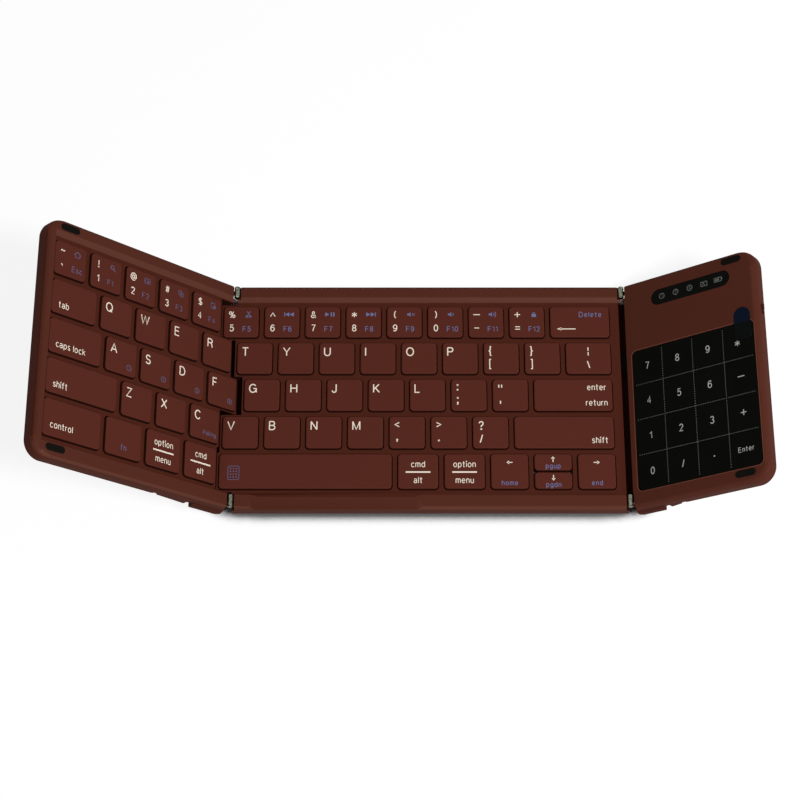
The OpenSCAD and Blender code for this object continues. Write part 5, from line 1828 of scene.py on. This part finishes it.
@dataclass
class FlatCable:
    """The flat cable that bends round a fold axis from the base into a wing."""

    node: str
    base: Section
    wing: Section
    axis_x: float
    way: int
    rest: float
    depth: float = 5.375
    y: float = 15.5
    width: float = 8.0
    thick: float = 0.15
    lead: float = 9.0
    lead_steps: int = 6
    steps: int = 36

    def path(self) -> list[Vector]:
        """Follows the middle line from the base to the wing.

        Returns:
            Its points in the base's flat frame, seen from the front.
        """
        parts = [i / self.lead_steps for i in range(self.lead_steps + 1)]
        spots = [Vector((self.lead * (1 - part), -self.depth)) for part in parts[:-1]]
        turns = [math.radians(self.rest) * i / self.steps for i in range(self.steps + 1)]
        spots += [Vector((-math.sin(a), -math.cos(a))) * self.depth for a in turns]
        end, way = spots[-1], Vector((-math.cos(turns[-1]), math.sin(turns[-1])))
        return spots + [end + way * self.lead * part for part in parts[1:]]

    def build(self) -> None:
        """Builds the cable in its resting bend."""
        spots = self.path()
        loops: list[list[Vector]] = []
        for i, spot in enumerate(spots):
            along = (spots[min(i + 1, len(spots) - 1)] - spots[max(i - 1, 0)]).normalized()
            across = Vector((-along.y, along.x)) * self.thick / 2
            low, high = spot - across, spot + across
            near, beyond = self.y - self.width / 2, self.y + self.width / 2
            loops.append([Vector((self.axis_x + self.way * p.x, y, p.y))
                          for p, y in ((low, near), (low, beyond), (high, beyond),
                                       (high, near))])
        shape = Shape()
        shape.loft(loops)
        piece = add_piece(f"{self.node}_film", shape.mesh("cable"), self.base, Finish.FILM,
                          [self.node], rides=False)
        ends = [self.base.point(self.axis_x + self.way * p.x, self.y, p.y)
                for p in (spots[self.lead_steps], spots[self.lead_steps + self.steps])]
        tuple(ends[0])
        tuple(ends[1])
        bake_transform(piece)


@dataclass
class BatteryCell:
    """The flat pouch cell in the base's housing, with its protection board."""

    section: Section
    corner: Triple = (44.6, -18.0, -9.1)
    size: Triple = (62.0, 36.0, 2.9)
    rounding: float = 0.9
    strip: Triple = (4.0, 18.0, 1.45)

    def build(self) -> None:
        """Builds the pouch and the board at its end."""
        (x, y, z), (w, d, h), edge = self.corner, self.size, self.rounding
        shape = Shape()
        shape.rounded_slab((x, y), (w, d), 2.0, (
            (edge, z), (edge * 0.3, z + edge * 0.3), (0, z + edge), (0, z + h - edge),
            (edge * 0.3, z + h - edge * 0.3), (edge, z + h)))
        add_piece("battery_cell_pouch", shape.mesh("pouch"), self.section, Finish.FOIL,
                  ["battery_cell"])
        a, b, c = self.strip
        board = Shape()
        board.box((x + w, y + b / 2, z + c / 2), (x + w + a, y + b * 1.5, z + c * 1.5))
        add_piece("battery_cell_board", board.mesh("board"), self.section, Finish.BOARD)


@dataclass
class TouchPad:
    """The gloss pad of the touch wing with its printed number grid."""

    section: Section
    left: float = 3.5
    front: float = -40.2
    width: float = 52.3
    depth: float = 57.2
    corner: float = 2.0
    top: float = -0.35
    bottom: float = -1.25
    edge: float = 0.3
    cells: int = 4
    dot_pitch: float = 0.97
    dot: Point = (0.26, 0.3)
    sign_height: float = 3.0
    word_height: float = 2.04
    # The painted highlight ring round the pad starts this far outside its edge; its width is given
    # two fields below.
    seam: float = 0.12
    star_shift: Point = (0.6, 0.9)
    seam_w: float = 0.2
    signs: tuple[str, ...] = ("7", "8", "9", "*", "4", "5", "6", "–", "1", "2", "3", "+",
                              "0", "/", ".", "Enter")

    def build(self, printer: Printer) -> None:
        """Builds the pad, its dotted lines and its signs.

        Args:
            printer: Prints the signs.
        """
        slab = Shape()
        top, edge = self.top, self.edge
        slab.rounded_slab((self.left, self.front), (self.width, self.depth), self.corner, (
            (0, self.bottom), (0, top - edge), (edge * 0.3, top - edge * 0.3), (edge, top),
            (edge + 0.3, top)), 8)
        add_piece("touch_glass_pad", slab.mesh("pad"), self.section, Finish.GLASS,
                  ["touch_glass"])
        self.add_lines(top + printer.lift)
        pad = Cap(self.left, self.front, self.width, self.depth)
        for i, sign in enumerate(self.signs):
            row, column = divmod(i, self.cells)
            x, y = ((place + 0.5) * size / self.cells
                    for place, size in ((column, self.width), (row, self.depth)))
            if sign == "*":
                x, y = x - self.star_shift[0], y + self.star_shift[1]
            single = len(sign) == 1
            printer.mark(pad, Mark(sign, x, y, self.sign_height if single else self.word_height,
                                   Finish.GREY, Align.CENTRE, single, stroke=0.105, spacing=0.2),
                         top)
        add_piece("touch_glass_signs", printer.mesh("signs"), self.section)
        self.add_edge()

    def add_edge(self) -> None:
        """Adds a painted highlight along the frame's edge round the pad, level with the rim."""
        shape = Shape()
        low, high = LEVELS.rim - 0.12, LEVELS.rim + 0.005
        inner, outer = self.seam, self.seam + self.seam_w
        loops = [[Vector((self.left - reach + x, self.front - reach + y, z))
                  for x, y in outline(self.width + 2 * reach, self.depth + 2 * reach,
                                      self.corner + reach, 0, 8)]
                 for reach, z in ((inner, low), (inner, high), (outer, high), (outer, low))]
        shape.loft(loops, closed=True)
        add_piece("touch_glass_edge", shape.mesh("edge"), self.section, Finish.EDGE)

    def add_lines(self, z: float) -> None:
        """Adds the dotted lines between the cells.

        Args:
            z: Their height.
        """
        for name, long_side, short_side, turn in (
                ("across", self.width, self.depth, False), ("along", self.depth, self.width, True)):
            count = int((long_side - 1.2) / self.dot_pitch)
            start = (long_side - (count - 1) * self.dot_pitch) / 2
            step = short_side / self.cells
            dot = bpy.data.meshes.new("dot")
            wide, deep = self.dot[::-1] if turn else self.dot
            x = self.left + (step if turn else start)
            y = self.front + (start if turn else step)
            dot.from_pydata([(*spot, z) for spot in rectangle(x, y, wide, deep)[:4]], [],
                            [(0, 1, 2, 3)])
            lines, dots = (self.cells - 1, step), (count, self.dot_pitch)
            columns, rows = (lines, dots) if turn else (dots, lines)
            add_piece(f"touch_glass_dots_{name}", in_grid(dot, Finish.DIM, *columns, *rows),
                      self.section, Finish.DIM)


@dataclass
class IndicatorWindow:
    """The gloss window over the lamps, with a printed drawing for each lamp."""

    section: Section
    x: float = 30.2
    y: float = 37.0
    length: float = 34.0
    width: float = 6.3
    top: float = -0.3
    thick: float = 0.6
    pitch: float = 6.1
    lamp: Triple = (1.6, 0.8, 0.3)
    lamp_z: float = -1.25
    drawings: tuple[str, ...] = ("ring", "ring", "ring", "capital", "battery")

    def build(self, printer: Printer) -> None:
        """Builds the window, its print and the lamps.

        Args:
            printer: Prints the drawings.
        """
        shape, top = Shape(), self.top
        pill = Cap(self.x - self.length / 2, self.y - self.width / 2, self.length, self.width)
        shape.rounded_slab((pill.left, pill.front), (self.length, self.width),
                           self.width / 2 - 0.02, ((0, top - self.thick), (0, top - 0.2),
                                                   (0.06, top - 0.06), (0.2, top), (0.5, top)), 10)
        add_piece("indicator_window_pill", shape.mesh("pill"), self.section, Finish.WINDOW,
                  ["indicator_window"])
        count = len(self.drawings)
        middle = (count - 1) / 2
        for i, name in enumerate(self.drawings):
            x, y = self.length / 2 + (i - middle) * self.pitch, self.width / 2
            ring = name == "ring"
            printer.mark(pill, Mark(name, x, y, 0, Finish.DIM, scale=1.05 if ring else 1.1), top)
            if ring:
                printer.mark(pill, Mark(str(i + 1), x, y, 1.25, Finish.DIM, Align.CENTRE), top)
        add_piece("indicator_window_print", printer.mesh("window_print"), self.section)
        w, d, h = self.lamp
        lens = Shape()
        left = self.x - middle * self.pitch - w / 2
        lens.box((left, self.y - d / 2, self.lamp_z), (left + w, self.y + d / 2, self.lamp_z + h))
        add_piece("indicator_lamps_set",
                  in_grid(lens.mesh("lamp"), Finish.LAMP, count, self.pitch), self.section,
                  Finish.LAMP, ["indicator_lamps"])


@dataclass
class ChargingSocket:
    """The oblong steel shell with a tongue and its contacts."""

    section: Section
    x: float = 28.0
    rear: float = 46.4
    z: float = -3.65
    width: float = 8.94
    height: float = 3.2
    depth: float = 7.3
    wall: float = 0.3
    tongue: Triple = (6.7, 4.6, 0.7)
    contacts: int = 12
    contact_pitch: float = 0.5
    contact: Triple = (0.24, 1.5, 0.03)

    def ring(self, inset: float, y: float) -> list[Vector]:
        """One upright oblong loop at a place along Y."""
        return [Vector((self.x - self.width / 2 + px, y, self.z - self.height / 2 + pz))
                for px, pz in outline(self.width, self.height, self.height / 2 - 0.02, inset, 8)]

    def build(self) -> None:
        """Builds the shell, the tongue and the contacts."""
        rear, front = self.rear - 0.02, self.rear - self.depth
        shell = Shape()
        shell.loft([self.ring(self.wall, front + 1), self.ring(self.wall, rear - 0.2),
                    self.ring(self.wall * 0.6, rear), self.ring(0.08, rear),
                    self.ring(0, rear - 0.1), self.ring(0, front)])
        add_piece("charging_socket_shell", shell.mesh("shell"), self.section, Finish.STEEL,
                  ["charging_socket"])
        w, d, h = self.tongue
        near = front + 0.5
        tongue = Shape()
        tongue.box((self.x - w / 2, near, self.z - h / 2),
                   (self.x + w / 2, near + d, self.z + h / 2), 0.1)
        add_piece("charging_socket_tongue", tongue.mesh("tongue"), self.section,
                  Finish.SOCKET_CORE)
        contact = Shape()
        wide, long, proud = self.contact
        x = self.x - self.contact_pitch * (self.contacts - 1) / 2
        y = near + d - long - 0.3
        contact.box((x - wide / 2, y, self.z - h / 2 - proud),
                    (x + wide / 2, y + long, self.z + h / 2 + proud), 0.02)
        add_piece("charging_socket_contacts",
                  in_grid(contact.mesh("contact"), Finish.STEEL, self.contacts,
                          self.contact_pitch), self.section, Finish.STEEL)


@dataclass
class PowerSwitch:
    """The ribbed knob in the touch wing's side, with its keeper plate inside."""

    section: Section
    wall_x: float = 56.9
    y: float = 21.9
    z: float = -4.8
    length: float = 1.8
    height: float = 1.4
    proud: float = 1.9
    keeper: Triple = (0.45, 0.5, 0.4)
    ribs: int = 4

    def build(self) -> None:
        """Builds the knob in one piece."""
        depth, rim, thick = self.keeper
        x, y, z = self.wall_x, self.y, self.z
        shape = Shape()
        shape.box((x - depth, y, z),
                  (x + self.proud - 0.12, y + self.length, z + self.height), 0.08)
        shape.box((x - depth, y - rim, z - rim),
                  (x - depth + thick, y + self.length + rim, z + self.height + rim), 0.05)
        pitch = self.length / self.ribs
        for i in range(self.ribs):
            rib = y + pitch * (i + 0.22)
            shape.box((x + self.proud - 0.25, rib, z + 0.1),
                      (x + self.proud, rib + pitch * 0.56, z + self.height - 0.1), 0.07)
        add_piece("power_switch_knob", shape.mesh("knob"), self.section, Finish.KNOB,
                  ["power_switch"], "power_switch")


@dataclass
class PullTab:
    """The dark end of the clear film over the pad, round at its rear."""

    section: Section
    left: float = 48.0
    front: float = 10.1
    width: float = 6.7
    length: float = 12.9
    bottom: float = -0.2
    thick: float = 0.12
    on_glass: float = 6.9
    corner: float = 1.0

    def build(self) -> None:
        """Builds the tab as one thin sheet with an outlined, darker part over the pad."""
        r, c = self.width / 2, self.corner
        middle, seam = self.front + self.length - r, self.front + self.on_glass
        right = self.left + self.width
        over = arc(right - c, self.front + c, c, -90, 0, 6)[1:] + [(right, seam), (self.left, seam)]
        over += arc(self.left + c, self.front + c, c, 180, 270, 6)
        behind = [(self.left, seam), (right, seam)] + arc(self.left + r, middle, r, 0, 180, 24)
        shape = Shape()
        for rim in (over, behind):
            shape.loft([[Vector((x, y, self.bottom + z)) for x, y in rim]
                        for z in (0, self.thick - 0.02, self.thick)])

        def pick(face: bpy.types.MeshPolygon) -> int:
            """Tells the sheet, its part over the pad and that part's outline apart."""
            side = abs(face.normal.z) < 0.5 and face.center.z > self.bottom + self.thick / 2
            return (2 if side else 1) if face.center.y < seam - 0.01 else 0

        add_piece("film_tab_sheet", shape.mesh("tab"), self.section,
                  (Finish.TAB, Finish.TAB_OVER_GLASS, Finish.DIM_BLUE), ["film_tab"], pick=pick)


@dataclass
class TouchBoard:
    """The circuit board of the touch wing with its chips."""

    section: Section
    underside: float = -2.05

    def build(self) -> None:
        """Dresses the board's lacquer and the chips below it."""
        add_piece("touch_board_assembly", softened("touch_board", self.section, 0), self.section,
                  (Finish.BOARD, Finish.CHIP), ["touch_board"],
                  pick=lambda face: face.center.z < self.underside - 0.02)


@dataclass
class Studio:
    """Plain floor, soft light and a camera at the photograph's angle."""

    lens: float = 85.62
    eye: Triple = (-0.01147, -0.27226, 0.69223)
    down: float = 68.407
    world_level: float = 0.15
    floor_size: float = 6.0
    floor_glow: float = 0.82
    shadow_reach: float = 0.012
    shadow_range: Point = (0.5, 0.67)
    lamp_place: Triple = (0.46, -0.42, 1.05)
    lamp_size: float = 0.25
    lamp_power: float = 13.4

    def build_world(self) -> None:
        """Builds surroundings that the camera, gloss and glass see white."""
        world = bpy.data.worlds.new("studio")
        bpy.context.scene.world = world
        world.use_nodes = True
        nodes = Nodes(world.node_tree)
        camera, gloss, glass = (nodes.add("ShaderNodeLightPath", {}, f"Is {ray} Ray")
                                for ray in ("Camera", "Glossy", "Transmission"))
        level = nodes.add("ShaderNodeMapRange", {
            "Value": camera | gloss | glass, "To Min": self.world_level})
        shade = nodes.add("ShaderNodeBackground", {"Color": (1, 1, 1, 1), "Strength": level})
        nodes.add("ShaderNodeOutputWorld", {"Surface": shade})

    def build_floor(self) -> None:
        """Builds the white floor just under the feet; it keeps the shadow."""
        low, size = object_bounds()[0].z, self.floor_size
        mesh = bpy.data.meshes.new("floor")
        mesh.from_pydata([(x, y, low) for x, y in rectangle(0, 0, size, size)[:4]], [],
                         [(0, 1, 2, 3)])
        floor = held(mesh, "floor")
        paint = Paint("floor_white")
        # The glow that the camera sees fades with occlusion: painted shadow in the slits and
        # pockets under the keyboard and along its edges.
        open_air = paint.add("ShaderNodeAmbientOcclusion", {"Distance": self.shadow_reach}, "AO")
        lit = paint.add("ShaderNodeMapRange", {
            "Value": open_air, "From Min": self.shadow_range[0],
            "From Max": self.shadow_range[1], "To Max": 1.07})
        seen = paint.add("ShaderNodeLightPath", {}, "Is Camera Ray")
        share = paint.add("ShaderNodeMapRange", {"Value": seen, "To Max": self.floor_glow})
        both = paint.add("ShaderNodeMixShader", {
            0: share, 1: paint.add("ShaderNodeBsdfDiffuse", {"Color": (0.8, 0.8, 0.8, 1)}),
            2: paint.add("ShaderNodeEmission", {"Strength": lit})})
        paint.add("ShaderNodeOutputMaterial", {"Surface": both})
        mesh.materials.append(paint.material)
        floor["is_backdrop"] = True

    def build_lamp(self) -> None:
        """Builds the soft square lamp, which faces the keyboard."""
        light = bpy.data.lights.new("key_light", "AREA")
        light.size = self.lamp_size
        light.energy = self.lamp_power
        lamp = held(light, "key_light")
        lamp.location = self.lamp_place
        lamp.rotation_mode = "QUATERNION"
        lamp.rotation_quaternion = (-Vector(self.lamp_place)).to_track_quat("-Z", "Y")

    def build_camera(self) -> None:
        """Builds the camera from its fitted place and angle."""
        data = bpy.data.cameras.new("camera")
        data.lens = self.lens
        data.sensor_width = 36.0
        data.clip_start = 0.01
        camera = held(data, "camera")
        camera.location = self.eye
        camera.rotation_euler = (math.radians(90 - self.down), 0, 0)
        bpy.context.scene.camera = camera

    def build(self) -> None:
        """Builds the studio."""
        bpy.context.scene.view_settings.view_transform = "Standard"
        self.build_world()
        self.build_floor()
        self.build_lamp()
        self.build_camera()


def main() -> None:
    """Builds the keyboard's looks, section by section, and then the studio."""
    logging.basicConfig(level=logging.INFO, format="%(message)s")
    base = Section.from_joint("left_fold", False)
    left = Section.from_joint("left_fold", True)
    right = Section.from_joint("right_fold", True)
    rest = {j["name"]: -j["range_deg"][0] for j in frame["joints"] if j["type"] == "hinge"}
    pivots = [j["pos_m"][0] for j in frame["joints"] if j["type"] == "hinge"]
    span = (pivots[1] - pivots[0]) / MM
    printer = Printer()
    base_caps, left_caps = LAYOUT.base_caps(), LAYOUT.left_caps()
    marks = KeyPrint().table({**base_caps, **left_caps})
    KeyBank(base, base_caps, "base_key_plate", "base_dome_sheet").build(printer, marks)
    KeyBank(left, left_caps, "left_key_plate", "left_dome_sheet").build(printer, marks)
    for section, side in ((base, "base"), (left, "left"), (right, "right")):
        far = span if side == "base" else 0.0
        Shell(section, f"{side}_frame", f"{side}_tray", far, side != "right").build()
    Fasteners(base, "base_screws", (14.6, 75.6, 136.6)).build()
    Fasteners(left, "left_screws", (-23.3, -48.4, -70.3)).build()
    Fasteners(right, "right_screws", (16.1, 39.4)).build()
    bumper = {"ys": (-42.3, 43.4), "size": (8.2, 2.7), "bottom": -0.7, "top": 0.1}
    RubberParts(left, "left_bumpers", (-79.3,), **bumper).build()
    RubberParts(right, "right_bumpers", (48.4,), **bumper).build()
    foot = {"bottom": LEVELS.feet, "rounding": 0.4, "upward": False}
    RubberParts(base, "base_feet", (20.6, 130.6), (-34.1, 34.1), (14.0, 4.0), top=-9.7,
                **foot).build()
    wing_foot = {"ys": (-34.4, 34.4), "size": (7.0, 7.0), "top": -6.2}
    RubberParts(left, "left_feet", (-77.8,), **wing_foot, **foot).build()
    RubberParts(right, "right_feet", (47.1,), **wing_foot, **foot).build()
    Hinges(base, left, right, span).build()
    FlatCable("left_flex_cable", base, left, 0.0, 1, rest["left_fold"]).build()
    FlatCable("right_flex_cable", base, right, span, -1, rest["right_fold"]).build()
    BatteryCell(base).build()
    TouchPad(right).build(printer)
    IndicatorWindow(right).build(printer)
    ChargingSocket(right).build()
    PowerSwitch(right).build()
    PullTab(right).build()
    TouchBoard(right).build()
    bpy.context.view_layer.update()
    Studio().build()


if __name__ == "__main__":
    main()
